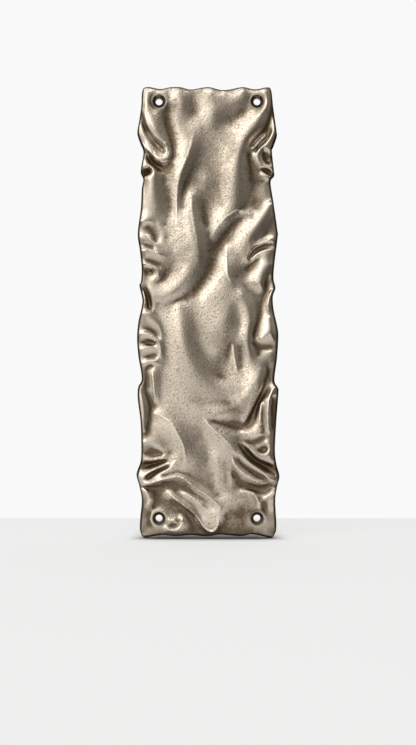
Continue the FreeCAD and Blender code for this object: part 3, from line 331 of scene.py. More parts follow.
MIDDLE_FOLDS = {
    "bowl crest": (
        (179.5, 304, 6.5), (180.3, 315, 7.3), (181, 325, 7.9), (182.3, 335, 8.2), (184, 345, 8.2),
        (187, 355, 8.0), (192, 365, 7.8), (198, 373.5, 7.5), (205, 381, 7.2), (213, 386, 6.9),
        (223, 388.5, 6.6), (232, 388, 6.6),
    ),
    "bowl valley": (
        (193, 303, 5.5), (194, 314, 6.2), (195, 326, 6.3), (197, 338, 6.2), (201, 349, 6.0),
        (206, 358, 5.6), (212, 367, 5.1), (219, 375, 4.7),
    ),
    "bowl ridge": (
        (229, 298, 7.3), (227.5, 309, 7.9), (225.5, 319, 8.3), (222, 329, 8.1), (217.5, 339, 7.3),
        (213, 348, 6.4),
    ),
    "bowl slope": ((209, 303, 6.9), (208, 318, 7.1), (207, 332, 6.8)),
    "right trough": (
        (237, 304, 7.1), (239, 316, 6.8), (238.5, 327, 6.7), (234, 338, 6.2), (229, 349, 5.2),
        (227, 359, 4.7), (225, 368, 4.6), (222, 377, 4.8),
    ),
    "small crest": ((231.5, 342, 5.9), (233.2, 352, 5.9), (235, 362, 6.0), (237, 373, 6.2)),
    "small hollow": ((239.5, 346, 5.8), (240.5, 356, 5.6), (240.5, 367, 5.7)),
    "upright ridge": (
        (241, 293, 7.1), (244.5, 303, 7.5), (248.3, 313, 7.7), (250, 322, 7.8), (248, 333, 8.1),
        (246.7, 344, 7.9), (247.7, 354, 7.3), (247.7, 363, 7.0), (243.5, 373, 6.7),
    ),
    "left plain": (
        (154, 313, 5.0), (160, 321, 5.1), (163.5, 331, 5.1), (164.3, 343, 5.1), (164.3, 355, 5.1),
        (163.8, 365, 5.0),
    ),
    "right lobe crest": (
        (268, 317, 6.6), (270.5, 326, 7.4), (271, 333, 7.5), (265.5, 335.5, 7.6), (259.5, 338, 7.4),
    ),
    "right lobe pocket": ((254, 343, 5.0), (260, 346.5, 4.6), (266, 347.3, 4.5), (272, 346, 4.7)),
    "right lobe foot": ((258, 354, 5.2), (265, 351.5, 5.5), (271, 353, 5.6), (267, 361, 5.6)),
    "right groove": (
        (271.8, 285.5, 4.5), (267, 291.5, 4.2), (263.3, 299.5, 4.2), (261, 308, 4.5),
        (258.5, 317, 4.9), (256, 326, 5.2), (254, 336, 5.0),
    ),
    "right flap": ((271, 291, 5.9), (268.3, 298, 6.1), (266.8, 307, 6.2)),
    "big lobe crest": (
        (262.3, 369, 7.2), (261, 377, 7.9), (257.5, 385, 8.3), (252, 392.5, 8.5), (246, 399, 8.4),
        (241, 405, 8.0),
    ),
    "big lobe shoulder": ((240, 380, 6.6), (241, 391, 7.4)),
    "big lobe edge": (
        (263.2, 379, 6.5), (260, 388, 6.8), (256, 396, 6.7), (251.5, 405, 6.5), (247.5, 413, 6.3),
        (243, 420, 6.0),
    ),
    "long groove": (
        (267.3, 367, 5.0), (266, 376, 4.6), (263.2, 386, 3.9), (259.3, 396, 3.3), (255, 406, 3.0),
        (251.5, 414, 3.2), (247.5, 421, 3.8), (242.5, 426, 4.5),
    ),
    "long flap": (
        (275, 385, 5.2), (271.3, 390, 6.1), (268.5, 398, 6.6), (267.4, 408, 6.8), (267.4, 420, 6.8),
        (267.8, 429, 6.3),
    ),
    "long flap foot": ((263.5, 398, 5.3), (262.4, 408, 5.2), (262.2, 419, 5.3), (263.5, 429, 5.3)),
    "long flap edge": ((272.6, 396, 4.9), (271.3, 406, 4.6), (270.9, 418, 4.6), (271.2, 429, 4.9)),
    "three-corner side": ((260.4, 402, 5.4), (259.8, 412, 6.0), (260.2, 422, 6.4)),
    "three-corner crest": (
        (242, 429.7, 5.7), (247, 432, 6.2), (252.5, 434.8, 6.5), (258, 433.5, 6.6), (261, 428, 6.3),
    ),
    "under three-corner": ((241, 437.5, 5.5), (248, 441, 4.9), (255, 441, 4.7), (262, 437, 4.8)),
}
LOWER_FOLDS = {
    "under bowl": ((188, 398, 6.8), (200, 401, 6.7), (213, 402.5, 6.7), (228, 401.5, 6.6)),
    "second bowl crest": (
        (191, 408, 7.0), (202, 412.5, 7.6), (212, 414.3, 7.9), (222, 414, 7.8), (231, 411, 7.5),
        (238, 406, 7.6),
    ),
    "second bowl valley": (
        (212, 419, 6.9), (219, 421, 6.3), (227, 423, 5.4), (235, 425, 4.6), (242.5, 426.5, 4.1),
    ),
    "slanting crest": (
        (203, 416, 7.4), (209, 423.5, 8.0), (216, 430, 8.4), (223, 436, 8.6), (229, 442, 8.6),
        (233.5, 446.5, 8.4),
    ),
    "left arm crest": (
        (155, 412, 5.4), (163, 416, 6.2), (170, 421, 7.1), (175.5, 428, 7.8), (179.5, 435.5, 8.2),
        (183, 443, 8.3), (184.7, 451, 8.2), (184.5, 460, 7.8), (182.5, 468, 7.4),
    ),
    "left arm foot": (
        (170, 413.5, 6.2), (178, 418.5, 6.5), (184.5, 427, 6.7), (189.5, 436, 6.8), (193, 446, 6.7),
        (194.5, 457, 6.5),
    ),
    "left arm shoulder": ((154, 424, 5.0), (158, 433, 5.6), (165, 442, 6.0), (170, 452, 5.9)),
    "left arm valley": (
        (194, 419, 6.6), (199, 429, 6.1), (203.5, 440, 5.8), (206.5, 452, 5.6), (207.5, 464, 5.6),
    ),
    "slit groove": ((142, 464.5, 3.4), (149, 463.5, 2.8), (157, 461.5, 3.0), (164.5, 459.5, 4.2)),
    "slit ridge": (
        (141.5, 477.5, 6.2), (146, 473, 6.4), (152, 468.7, 6.5), (159, 465.5, 6.6),
        (167, 462, 6.8),
    ),
    "second slit": ((146, 476, 4.8), (153, 471.5, 4.0), (160.5, 468, 3.9), (167.5, 465, 5.0)),
    "second slit ridge": (
        (152, 477, 6.4), (159, 472, 6.9), (165, 469, 7.2), (171, 465.5, 7.6), (176.5, 458, 7.6),
    ),
    "apron crest": (
        (145, 482, 7.0), (152, 480.3, 7.7), (160, 478, 8.0), (169, 475.8, 8.0), (177, 474.6, 7.9),
        (183, 476, 7.8), (190, 481.5, 7.7), (198, 487.8, 7.6), (206, 493, 7.6), (214, 498.8, 7.7),
        (221, 505.5, 7.9),
    ),
    "over apron": (
        (163, 473.5, 6.9), (172, 471.5, 6.9), (180, 470, 6.9), (190, 475, 6.6), (200, 481, 6.2),
        (210, 488, 6.2), (218, 495, 6.6),
    ),
    "apron valley": (
        (143, 486, 4.9), (150, 486.5, 4.7), (158, 486.5, 4.6), (166, 485.5, 4.6), (175, 484.5, 4.8),
        (182, 486.5, 5.0), (189, 490.5, 5.3), (197, 495, 5.8), (206, 500.5, 6.5), (212, 506, 7.0),
    ),
    "apron shade": ((163, 481.5, 5.9), (175, 479.5, 6.0), (183, 481.5, 5.9), (190, 486.5, 5.9)),
    "inner lip": ((181, 490.5, 5.6), (189, 493.5, 6.4), (197, 499, 6.9), (203, 505, 7.3)),
    "lip crest": (
        (167.5, 489, 5.8), (172.5, 494.5, 6.8), (179, 499.7, 7.2), (187, 505.5, 7.1), (194, 511, 6.7),
        (198.5, 517, 6.2), (202.5, 523.5, 6.0), (207.5, 528, 6.3), (212.5, 529, 6.9),
        (217, 524, 7.8), (219, 513, 8.2), (221, 505.5, 8.1),
    ),
    "lip inside": (
        (174, 489, 5.2), (181, 495.5, 5.9), (190, 501, 6.0), (197, 507, 6.1), (202, 514, 6.0),
    ),
    "tip face": ((208.5, 511, 7.2), (209, 518, 6.9), (211.5, 524, 7.1)),
    "tip rise": ((214, 510, 7.7), (214.5, 517, 7.8)),
    "lip valley": (
        (163, 496, 4.9), (170, 503, 4.6), (178, 508.5, 4.4), (187, 514, 4.3), (193, 520, 4.4),
        (198, 527, 4.5), (204, 532.5, 4.9),
    ),
    "lip foot": ((171, 498, 5.2), (179, 503.5, 5.0), (188, 509.5, 4.9), (193.5, 515, 4.8)),
    "lip right": ((225, 512, 6.3), (223.5, 521, 5.8), (219.5, 530, 5.5)),
    "foot shoulder": ((225, 501, 7.6), (232, 498, 7.6), (239, 496.5, 7.3), (246, 497, 6.8)),
    "foot plain": ((231, 509, 6.1), (233, 518, 5.4), (233, 527, 5.1)),
    "foot slope": ((241, 506, 6.0), (241, 516, 5.3), (240, 527, 5.0)),
    "corner plain": ((151, 512, 5.0), (151, 524, 4.8)),
    "centre rib": (
        (213, 447, 7.0), (215.5, 457, 7.6), (217, 467, 7.6), (217.8, 477, 7.0), (218, 487, 6.4),
    ),
    "beside centre rib": ((210, 452, 6.6), (211.5, 464, 6.4), (212.5, 476, 5.8), (213, 486, 5.7)),
    "second hollow": ((224, 460, 7.4), (224.5, 470, 7.0), (225.3, 480, 6.3)),
    "second rib": ((228.5, 468, 7.7), (229.7, 475, 7.2), (230.5, 483, 6.5)),
    "eye ring": (
        (257, 450.5, 6.1), (260, 453.6, 6.6), (265, 453.4, 6.7), (268.3, 449, 6.5), (267.5, 444.5, 6.0),
    ),
    "over eye": ((257, 445.5, 5.7), (261.5, 443.6, 5.6), (265, 443, 5.6)),
    "eye": ((259.8, 449.2, 4.6), (263, 448.4, 4.2), (265.8, 447.6, 4.6)),
    "by eye": ((266, 440, 6.1), (268.5, 442.5, 6.3)),
    "right slit": (
        (236.5, 440, 6.4), (240, 444.5, 5.0), (244, 449.5, 3.5), (249, 455, 2.6), (256, 460, 2.2),
        (263, 463.5, 2.2), (270, 467.5, 2.7), (274, 471, 3.4),
    ),
    "right shelf": (
        (243, 440.5, 5.6), (247.5, 445.5, 5.6), (252, 451, 5.5), (257, 456, 5.4), (263, 459, 5.4),
        (270, 461, 5.6),
    ),
    "inner curve": (
        (238, 449.7, 7.8), (243, 455.5, 7.3), (248.5, 461, 6.9), (254.5, 465.5, 6.5), (261, 470, 6.3),
        (271, 477.5, 6.2),
    ),
    "curve trough": (
        (237.5, 456, 7.0), (242.5, 462.5, 6.2), (249, 468, 5.6), (256.5, 473, 5.3), (264.5, 477.5, 5.3),
    ),
    "outer curve": (
        (232.3, 452, 7.9), (233, 459, 8.0), (237, 465.5, 8.0), (243, 471, 7.8),
        (249.5, 475.5, 7.5), (256.5, 479.3, 7.2), (264, 480.8, 6.8),
    ),
    "under curve": (
        (232.5, 471, 6.4), (238, 478.5, 5.4), (245, 484, 4.7), (253, 487.5, 4.3), (261, 488, 4.2),
        (269, 485, 4.4),
    ),
    "foot crest": (
        (238, 489, 6.2), (247, 489.5, 6.3), (254, 492, 6.6), (257.5, 499, 6.8), (258.3, 506, 6.6),
    ),
    "foot pocket": ((262.5, 501, 5.4), (264.5, 505.5, 5.1), (264, 510, 5.2)),
    "foot flap": ((274.5, 489, 6.6), (268.5, 493, 6.6), (262, 497.3, 6.6)),
    "foot flap edge": ((272, 496, 6.2), (270.5, 504, 6.4), (270, 508, 6.3)),
    "corner loop": ((143, 486.5, 5.8), (147, 490, 6.3), (150, 497, 6.5), (147, 504.5, 6.2)),
    "corner hollow": ((155, 494, 4.9), (155, 505, 4.9)),
    "swirl": (
        (164.5, 523, 6.3), (168.5, 527, 6.9), (173.5, 528, 7.0), (178.5, 525.8, 7.0), (182, 520.5, 6.9),
        (182, 514.5, 6.4),
    ),
    "inner swirl": ((168, 517.8, 6.2), (173.5, 518.8, 6.5), (177.5, 521.3, 6.3)),
    "swirl hollow": ((171, 523.3, 5.4), (176.3, 523.6, 5.5), (178.8, 518.5, 5.3)),
    "above swirl": ((168, 508, 5.1), (176, 512.5, 4.9)),
}
FOLD_GROUPS = (
    TOP_FOLDS, UPPER_FOLDS, LEFT_ROLLS, RIGHT_ROLLS, LEFT_POCKETS, TONGUE_FOLDS, MIDDLE_FOLDS,
    LOWER_FOLDS,
)

# Crests that stay crisp: how far each stands over its rounded fold, in millimetres. Each is
# a bell of this half width, cut off after so many half widths. It fades over the last sixth
# of its length at both ends, down to a tenth. Those that stand highest are painted bright along
# their tops: partly rubbed bare metal, partly a painted highlight.
CRISP_CRESTS = {
    "leaf crest": 0.35, "inner crest": 0.35, "rough ridge": 0.45, "centre knuckle": 0.4,
    "slanting crest": 0.45, "left arm crest": 0.4, "apron crest": 0.8, "lip crest": 0.75,
    "inner lip": 0.4, "outer curve": 0.65, "inner curve": 0.65, "foot crest": 0.5,
    "foot flap": 0.5, "corner loop": 0.5, "swirl": 0.5, "inner swirl": 0.4,
    "eighth ridge": 0.45, "slit ridge": 0.35, "second slit ridge": 0.4, "long flap": 0.4,
    "three-corner crest": 0.4, "upright crest": 0.35, "small crest": 0.35,
    "left flap": 0.3, "left groove lip": 0.35, "left roll": 0.35, "right flap": 0.35,
    "right groove fold": 0.35, "second ridge": 0.35, "third ridge": 0.35, "fifth ridge": 0.35,
    "sixth ridge": 0.3, "slot top": 0.4, "slot foot": 0.35, "right shelf": 0.35,
}
CREST_HALF_WIDTH = 0.7
CREST_REACH = 3
CREST_FADE = 6
FADED_CREST = 0.1
FULLY_RUBBED_AND_HIGHLIT = 0.65

# Painted shade on the rim: how dark the rim is from the door inwards, ring by ring of the net.
RIM_SHADE = (1.0, 1.0, 1.0, 1.0, 0.7, 0.1)

# Soft patches where the metal is painted darker or brighter than its folds make it, partly
# patina and wear, partly painted shade and painted highlight: the middle of a soft patch in the
# front view, its half width and half height, and how much darker it is.
WEAR_AND_PAINTED_LIGHT_PATCHES = (
    (152, 104, 10, 14, 0.3), (164, 126, 7, 24, 0.2), (149, 144, 7, 16, -0.8),
    (147, 112, 6, 8, 0.5), (160, 154, 6, 10, -0.7), (196, 98, 8, 6, -0.3),
    (213, 99, 15, 9, 0.45), (196, 118, 10, 12, 0.2), (244, 112, 8, 14, 0.3),
    (256, 140, 12, 14, -0.5), (206, 176, 20, 24, 0.2), (184, 136, 8, 14, 0.3),
    (232, 146, 7, 14, 0.65), (220, 180, 10, 20, 0.3), (260, 206, 12, 8, 0.5),
    (172, 179, 6, 14, 0.5), (188, 200, 10, 16, 0.2), (259, 173, 9, 13, 0.6),
    (160, 222, 7, 12, -0.2), (256, 230, 7, 10, -0.7), (208, 282, 10, 12, -0.2),
    (148, 206, 6, 8, 0.25), (232, 242, 7, 8, 0.25), (220, 220, 7, 9, 0.15),
    (250, 246, 9, 14, -0.5), (243, 298, 13, 18, -0.6), (160, 326, 6, 36, -0.55),
    (172, 346, 9, 36, -0.1), (172, 272, 8, 12, 0.25), (160, 388, 7, 14, -0.65),
    (268, 278, 6, 14, -0.4), (148, 328, 5, 12, 0.25), (172, 314, 6, 8, 0.25),
    (225, 339, 15, 11, 0.5), (268, 342, 6, 10, 0.25), (236, 409, 16, 13, 0.7),
    (204, 374, 20, 12, -0.15), (257, 382, 7, 13, -0.85), (246, 384, 6, 14, 0.2),
    (268, 392, 5, 22, -0.4), (258, 452, 12, 16, 0.7), (148, 392, 6, 20, -0.1),
    (146, 436, 6, 10, 0.8), (166, 458, 12, 8, 0.45), (157, 482, 17, 10, 0.65),
    (149, 504, 12, 16, 0.65), (265, 484, 11, 24, 0.85), (243, 510, 18, 13, 0.7),
    (206, 513, 13, 13, -0.7), (184, 503, 8, 8, -0.45), (214, 532, 66, 8, 0.9),
    (232, 470, 8, 10, 0.8), (196, 470, 8, 12, 0.25), (240, 428, 10, 12, 0.15),
    (226, 440, 8, 9, -0.6), (248, 482, 9, 9, 0.35),
)

# How the folds are joined: the sheet over the fold lines is softened by each of these in
# turn, widest first, and what each leaves out is stretched again, in millimetres. A sheet of
# fewer nodes than the smallest starts out flat.
SOFTENINGS = (5.3, 3.3, 2.0, 1.07, 0.53)
SHEET_SPACING = 0.35
SHEET_MARGIN = 2.0
STRETCH_PASSES = 60
SMALLEST_SHEET = 20

# The flat metal round each countersink, and how far it eases into the folds.
FLAT_MARGIN = 0.9 * MM
FLAT_BLEND = 1.4 * MM

# How far round a point its height is evened out, in millimetres, before it is compared.
FINE, NEAR, WIDE, BROAD = 0.4, 1.2, 3.2, 9.0

# What darkens the metal or brightens it: patina and painted shade in the hollows and low
# places, painted shade beside the crisp crests and a painted highlight on their tops. Each row
# is a mark stored on the mesh, the values between which it grows, and how much darker the
# metal is at the second.
DARKENED_BY = (
    ("proud", 0.1, -0.9, 0.5),
    ("deep", 0.1, 2.4, 0.35),
    ("low", -0.3, 2.8, 0.45),
    # Painted shade beside the crisp crests, and a painted highlight on their tops.
    ("crisp", -0.02, -0.22, 0.7),
    ("crisp", 0.02, 0.16, -0.5),
)

# Folds that meet at more than this angle stay sharp.
SHARP_FOLD = radians(40)

# How far the floor is lifted towards white, and how far its painted contact shadow reaches; the shaded
# floor colour is painted where the plate hems the floor in.
FLOOR_LIFT = 0.68
FLOOR_WHITE = 0.95
CONTACT_REACH = 18 * MM
SHADED_FLOOR = (0.1, 0.1, 0.1)
WHITE = (1.0, 1.0, 1.0)

# The soft light from all round: its plain level, and where it glows, as a direction, how
# tight the glow is and how bright its middle.
AMBIENT = 0.055
GLOWS = (
    ((-0.60, -0.70, 0.38), 4.4, 1.55),
    ((0.0, 0.55, 0.83), 3.0, 1.5),
    ((0.95, -0.2, 0.2), 6.0, 0.13),
    ((0.0, -1.0, 0.0), 3.0, 0.10),
)
DIM_LIGHT, BRIGHT_LIGHT = 0.05, 0.7
DIM_COLOUR = (1.0, 0.93, 0.84)
BRIGHT_COLOUR = (1.0, 0.99, 0.97)

SENSOR_WIDTH = 36.0
CAMERA_SHIFT = -0.025


class CastingSizes(bpy.types.PropertyGroup):
    """Sizes of the casting."""

    height: FloatProperty(
        name="Height", description="Overall height of the plate",
        default=PLATE_SIZE.z, min=0.05, unit="LENGTH",
    )
    width: FloatProperty(
        name="Width", description="Width over the widest bulges of both long edges",
        default=PLATE_SIZE.x, min=0.02, unit="LENGTH",
    )
    face_thickness: FloatProperty(
        name="Face thickness", description="From the door to the plain face",
        default=6.5 * MM, min=1 * MM, unit="LENGTH",
    )
    relief_depth: FloatProperty(
        name="Relief depth", description="From the deepest groove to the highest crest",
        default=8.4 * MM, min=0.0, unit="LENGTH",
    )
    overall_depth: FloatProperty(
        name="Overall depth", description="From the door to the highest crest",
        default=PLATE_SIZE.y, min=2 * MM, unit="LENGTH",
    )
    rim_thickness: FloatProperty(
        name="Rim thickness",
        description="From the door to the face along the rims of the long edges",
        default=4.8 * MM, min=1 * MM, unit="LENGTH",
    )
    end_rim_thickness: FloatProperty(
        name="End rim thickness", description="The same along the rims of the short edges",
        default=5.6 * MM, min=1 * MM, unit="LENGTH",
    )
    rim_radius: FloatProperty(
        name="Rim radius", description="Rounding between the face and the sides",
        default=1.5 * MM, min=0.1 * MM, unit="LENGTH",
    )
    side_draft: FloatProperty(
        name="Side draft", description="How far the sides lean in from the door to the rim",
        default=0.6 * MM, min=0.0, unit="LENGTH",
    )
    screw_hole_radius: FloatProperty(
        name="Screw hole radius", description="Radius of the through holes",
        default=SCREWS["dims"]["hole_r_mm"] * MM, min=0.5 * MM, unit="LENGTH",
    )
    countersink_radius: FloatProperty(
        name="Countersink radius", description="Radius of the countersinks at the face",
        default=4.35 * MM, min=1 * MM, unit="LENGTH",
    )
    countersink_angle: FloatProperty(
        name="Countersink angle", description="Full angle of the countersinks",
        default=radians(90), min=radians(30), max=radians(150), subtype="ANGLE",
    )
    points_across: IntProperty(
        name="Points across", description="Points of the mesh across the plate",
        default=172, min=20, max=400,
    )
    points_down: IntProperty(
        name="Points down", description="Points of the mesh down the plate",
        default=540, min=40, max=1200,
    )
    side_crowding: FloatProperty(
        name="Side crowding", description="How much closer the points stand at the long edges",
        default=0.35, min=0.0, max=0.9,
    )


class CastingFinish(bpy.types.PropertyGroup):
    """Colours and finish of the cast metal."""

    metal: FloatVectorProperty(
        name="Metal", description="Colour of the rubbed metal",
        default=(0.71, 0.62, 0.506), size=3, min=0.0, max=1.0, subtype="COLOR",
    )
    # Burnished crests are partly rubbed bare metal, partly a painted highlight.
    burnished_and_highlight: FloatVectorProperty(
        name="Burnished", description="Colour of the bare metal along the crisp crests",
        default=(1.0, 0.9, 0.76), size=3, min=0.0, max=1.0, subtype="COLOR",
    )
    # The patina colour also serves as painted shade in the hollows and beside the crests.
    patina_and_shade: FloatVectorProperty(
        name="Patina", description="Colour of the dark metal in the hollows",
        default=(0.16, 0.115, 0.072), size=3, min=0.0, max=1.0, subtype="COLOR",
    )
    # The countersinks' dark colour is painted shade in the screw holes.
    countersink: FloatVectorProperty(
        name="Countersinks", description="Colour of the metal inside the screw holes",
        default=(0.17, 0.13, 0.09), size=3, min=0.0, max=1.0, subtype="COLOR",
    )
    # The edge colour is painted shade on the plate's sides.
    edge: FloatVectorProperty(
        name="Edge", description="Colour of the dark sides",
        default=(0.08, 0.062, 0.044), size=3, min=0.0, max=1.0, subtype="COLOR",
    )
    rubbed_roughness: FloatProperty(
        name="Rubbed roughness", description="Roughness of the metal on the smooth margins",
        default=0.2, min=0.0, max=1.0,
    )
    cast_roughness: FloatProperty(
        name="Cast roughness", description="Roughness of the grainy metal",
        default=0.28, min=0.0, max=1.0,
    )
    pit_size: FloatProperty(
        name="Pit size", description="Spacing of the casting pits",
        default=1.3 * MM, min=0.1 * MM, unit="LENGTH",
    )
    pit_depth: FloatProperty(
        name="Pit depth", description="Depth of the casting pits",
        default=0.2 * MM, min=0.0, unit="LENGTH",
    )


class StageLook(bpy.types.PropertyGroup):
    """The floor, the lamps and the camera."""

    floor_colour: FloatVectorProperty(
        name="Floor", description="Colour of the floor",
        default=(0.66, 0.66, 0.66), size=3, min=0.0, max=1.0, subtype="COLOR",
    )
    backdrop_colour: FloatVectorProperty(
        name="Backdrop", description="Colour of the backdrop",
        default=(0.95, 0.95, 0.95), size=3, min=0.0, max=1.0, subtype="COLOR",
    )
    camera_distance: FloatProperty(
        name="Camera distance", description="From the door to the camera",
        default=0.9812, min=0.1, unit="LENGTH",
    )
    camera_height: FloatProperty(
        name="Camera height", description="Height of the camera over the foot of the plate",
        default=0.1224, min=0.0, unit="LENGTH",
    )
    camera_lens: FloatProperty(
        name="Lens", description="Focal length of the camera",
        default=71.1, min=10.0, unit="CAMERA",
    )
    key_strength: FloatProperty(
        name="Key lamp", description="Power of the large lamp up on the left",
        default=1.0, min=0.0, unit="POWER",
    )
    strip_strength: FloatProperty(
        name="Strip lamp", description="Power of the long lamp over the front",
        default=1.15, min=0.0, unit="POWER",
    )
    sky_strength: FloatProperty(
        name="Surround", description="Strength of the soft light from all round",
        default=1.0, min=0.0,
    )


def smooth_line(points, spacing):
    """Points along a smooth curve through the given ones, about one spacing apart."""
    points = np.array(points, float)
    first, last = 2 * points[0] - points[1], 2 * points[-1] - points[-2]
    guides = np.vstack((first, points, last))
    line = []
    for p, q, r, s in zip(guides, guides[1:], guides[2:], guides[3:]):
        steps = int(np.hypot(*(r - q)[:2]) / spacing) + 1
        t = np.linspace(0, 1, steps, endpoint=False)[:, None]
        bend = 2 * p - 5 * q + 4 * r - s + t * (3 * (q - r) + s - p)
        line.append(q + 0.5 * t * (r - p + t * bend))
    line.append(points[-1:])
    return np.vstack(line)


def softened(grid, radius):
    """A grid blurred by a bell of the given radius, in cells."""
    reach = int(3 * radius) + 1
    bell = np.exp(-0.5 * (np.arange(-reach, reach + 1) / radius) ** 2)
    bell /= bell.sum()
    for axis in (0, 1):
        pad = [(reach, reach) if a == axis else (0, 0) for a in (0, 1)]
        wide = np.pad(grid, pad, mode="edge")
        count = grid.shape[axis]
        grid = sum(
            share * np.take(wide, range(k, k + count), axis=axis)
            for k, share in enumerate(bell)
        )
    return grid


def halved(height, pinned):
    """The pinned heights on a sheet with half as many nodes each way."""
    shape = ((height.shape[0] + 1) // 2, (height.shape[1] + 1) // 2)
    total, count = np.zeros(shape), np.zeros(shape)
    for row in (0, 1):
        for column in (0, 1):
            some = pinned[row::2, column::2]
            part = np.where(some, height[row::2, column::2], 0.0)
            total[:part.shape[0], :part.shape[1]] += part
            count[:part.shape[0], :part.shape[1]] += some
    return total / np.maximum(count, 1), count > 0


def stretched(height, pinned):
    """A sheet held at its pinned nodes, every other node the mean of its neighbours."""
    if min(height.shape) > SMALLEST_SHEET:
        coarse = stretched(*halved(height, pinned))
        start = np.kron(coarse, np.ones((2, 2)))[:height.shape[0], :height.shape[1]]
    else:
        start = np.full(height.shape, height[pinned].mean())
    sheet = np.where(pinned, height, start)
    for _ in range(STRETCH_PASSES):
        wide = np.pad(sheet, 1, mode="edge")
        beside = wide[1:-1, :-2] + wide[1:-1, 2:] + wide[:-2, 1:-1] + wide[2:, 1:-1]
        sheet = np.where(pinned, height, beside / 4)
    return sheet


def screw_centres():
    """Centres of the screw holes as x and z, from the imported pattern."""
    half_x = SCREWS["dims"]["spacing_x_mm"] * MM / 2
    half_z = SCREWS["dims"]["spacing_y_mm"] * MM / 2
    x, _, z = SCREWS["pos_m"]
    return [(x + i * half_x, z + k * half_z) for i in (-1, 1) for k in (-1, 1)]


def from_nearest_screw(x, z):
    """How far points of the plate are from the middle of the nearest screw hole."""
    return np.min([np.hypot(x - a, z - b) for a, b in screw_centres()], axis=0)


class Relief:
    """The face's height over the plate, from the fold lines, the rim and the screw flats."""

    def __init__(self, sizes):
        self.sizes = sizes
        self.flat_radius = sizes.countersink_radius + FLAT_MARGIN
        self.step = SHEET_SPACING * MM
        margin = SHEET_MARGIN * MM
        self.left, self.low = -sizes.width / 2 - margin, -sizes.height / 2 - margin
        self.across = int((sizes.width + 2 * margin) / self.step) + 1
        self.up = int((sizes.height + 2 * margin) / self.step) + 1
        self.total = np.zeros((self.up, self.across))
        self.count = np.zeros((self.up, self.across))
        self.pin_folds()
        self.pin_rim()
        flats = self.from_screws() <= self.flat_radius
        self.total[flats], self.count[flats] = sizes.face_thickness, 1
        self.height = self.joined()
        self.raise_crests()
        self.level_screw_flats()

    def on_plate(self, x, y):
        """Plate x and z for points of the front view."""
        across = self.sizes.width / (VIEW_RIGHT - VIEW_LEFT)
        up = self.sizes.height / (VIEW_FOOT - VIEW_TOP)
        return (x - (VIEW_LEFT + VIEW_RIGHT) / 2) * across, ((VIEW_TOP + VIEW_FOOT) / 2 - y) * up

    def pin(self, x, z, height):
        """Hold the nodes nearest to some points at their heights."""
        column = np.rint((x - self.left) / self.step).astype(int)
        row = np.rint((z - self.low) / self.step).astype(int)
        np.add.at(self.total, (row, column), height)
        np.add.at(self.count, (row, column), 1)

    def pin_folds(self):
        """Hold the nodes along the fold lines."""
        scale = self.sizes.relief_depth / DRAWN_RELIEF
        for group in FOLD_GROUPS:
            for line in group.values():
                points = np.array(line, float)
                x, z = self.on_plate(points[:, 0], points[:, 1])
                height = self.sizes.face_thickness + (points[:, 2] - DRAWN_FACE) * scale
                self.pin(*smooth_line(np.column_stack((x, z, height)), self.step / 3).T)

    def pin_rim(self):
        """Hold the nodes along the outline."""
        sides, ends = self.sizes.rim_thickness, self.sizes.end_rim_thickness
        for edge, thickness in (
            (LEFT_EDGE, sides), (RIGHT_EDGE, sides), (TOP_EDGE, ends), (FOOT_EDGE, ends),
        ):
            x, z = self.edge(edge).T
            self.pin(x, z, np.full(len(x), thickness))

    def drawn_line(self, points, spacing):
        """A smooth line on the plate through points of the front view."""
        points = np.array(points, float)
        return smooth_line(np.column_stack(self.on_plate(points[:, 0], points[:, 1])), spacing)

    def edge(self, points):
        """An edge of the outline as points on the plate."""
        return self.drawn_line(points, self.step / 3)

    def grid_places(self):
        """The nodes' x and z."""
        x = self.left + np.arange(self.across) * self.step
        z = self.low + np.arange(self.up) * self.step
        return np.meshgrid(x, z)

    def from_screws(self):
        """How far each node is from the middle of the nearest screw hole."""
        return from_nearest_screw(*self.grid_places())

    def level_screw_flats(self):
        """Level the flats round the screws, and ease them into the folds round them."""
        share = np.clip(1 - (self.from_screws() - self.flat_radius) / FLAT_BLEND, 0, 1)
        share = share ** 2 * (3 - 2 * share)
        self.height += share * (self.sizes.face_thickness - self.height)

    def joined(self):
        """The fold lines joined by a sheet with rounded crests and valleys."""
        pinned = self.count > 0
        target = self.total / np.maximum(self.count, 1)
        height = np.zeros(target.shape)
        for radius in SOFTENINGS:
            rest = stretched(np.where(pinned, target - height, 0.0), pinned)
            height += softened(rest, radius * MM / self.step)
        return height

    def raise_crests(self):
        """Raise the crisp crests, each with a bell-shaped section that fades at its ends."""
        x, z = self.grid_places()
        half = CREST_HALF_WIDTH * MM
        self.rubbed_and_highlit = np.zeros(self.height.shape)
        lines = {name: line for group in FOLD_GROUPS for name, line in group.items()}
        for name, raised in CRISP_CRESTS.items():
            line = self.drawn_line(lines[name], self.step)
            low = line.min(axis=0) - CREST_REACH * half
            high = line.max(axis=0) + CREST_REACH * half
            columns = slice(*np.searchsorted(x[0], (low[0], high[0])))
            rows = slice(*np.searchsorted(z[:, 0], (low[1], high[1])))
            away = np.hypot(
                x[rows, columns, None] - line[:, 0], z[rows, columns, None] - line[:, 1]
            )
            along = away.argmin(axis=2) / (len(line) - 1)
            fade = np.clip(np.minimum(along, 1 - along) * CREST_FADE, FADED_CREST, 1)
            bell = fade * np.exp(-(away.min(axis=2) / half) ** 2)
            self.height[rows, columns] += raised * MM * bell
            # Where the crests are painted bright: partly rubbed bare metal, partly a painted highlight.
            bare_and_highlit = min(raised / FULLY_RUBBED_AND_HIGHLIT, 1) * bell
            self.rubbed_and_highlit[rows, columns] = np.maximum(self.rubbed_and_highlit[rows, columns], bare_and_highlit)

    def at(self, grid, x, z):
        """A grid's value at points of the plate, between its four nearest nodes."""
        column = np.clip((x - self.left) / self.step, 0, self.across - 1.001)
        row = np.clip((z - self.low) / self.step, 0, self.up - 1.001)
        c, r = column.astype(int), row.astype(int)
        u, v = column - c, row - r
        low = grid[r, c] * (1 - u) + grid[r, c + 1] * u
        high = grid[r + 1, c] * (1 - u) + grid[r + 1, c + 1] * u
        return low * (1 - v) + high * v


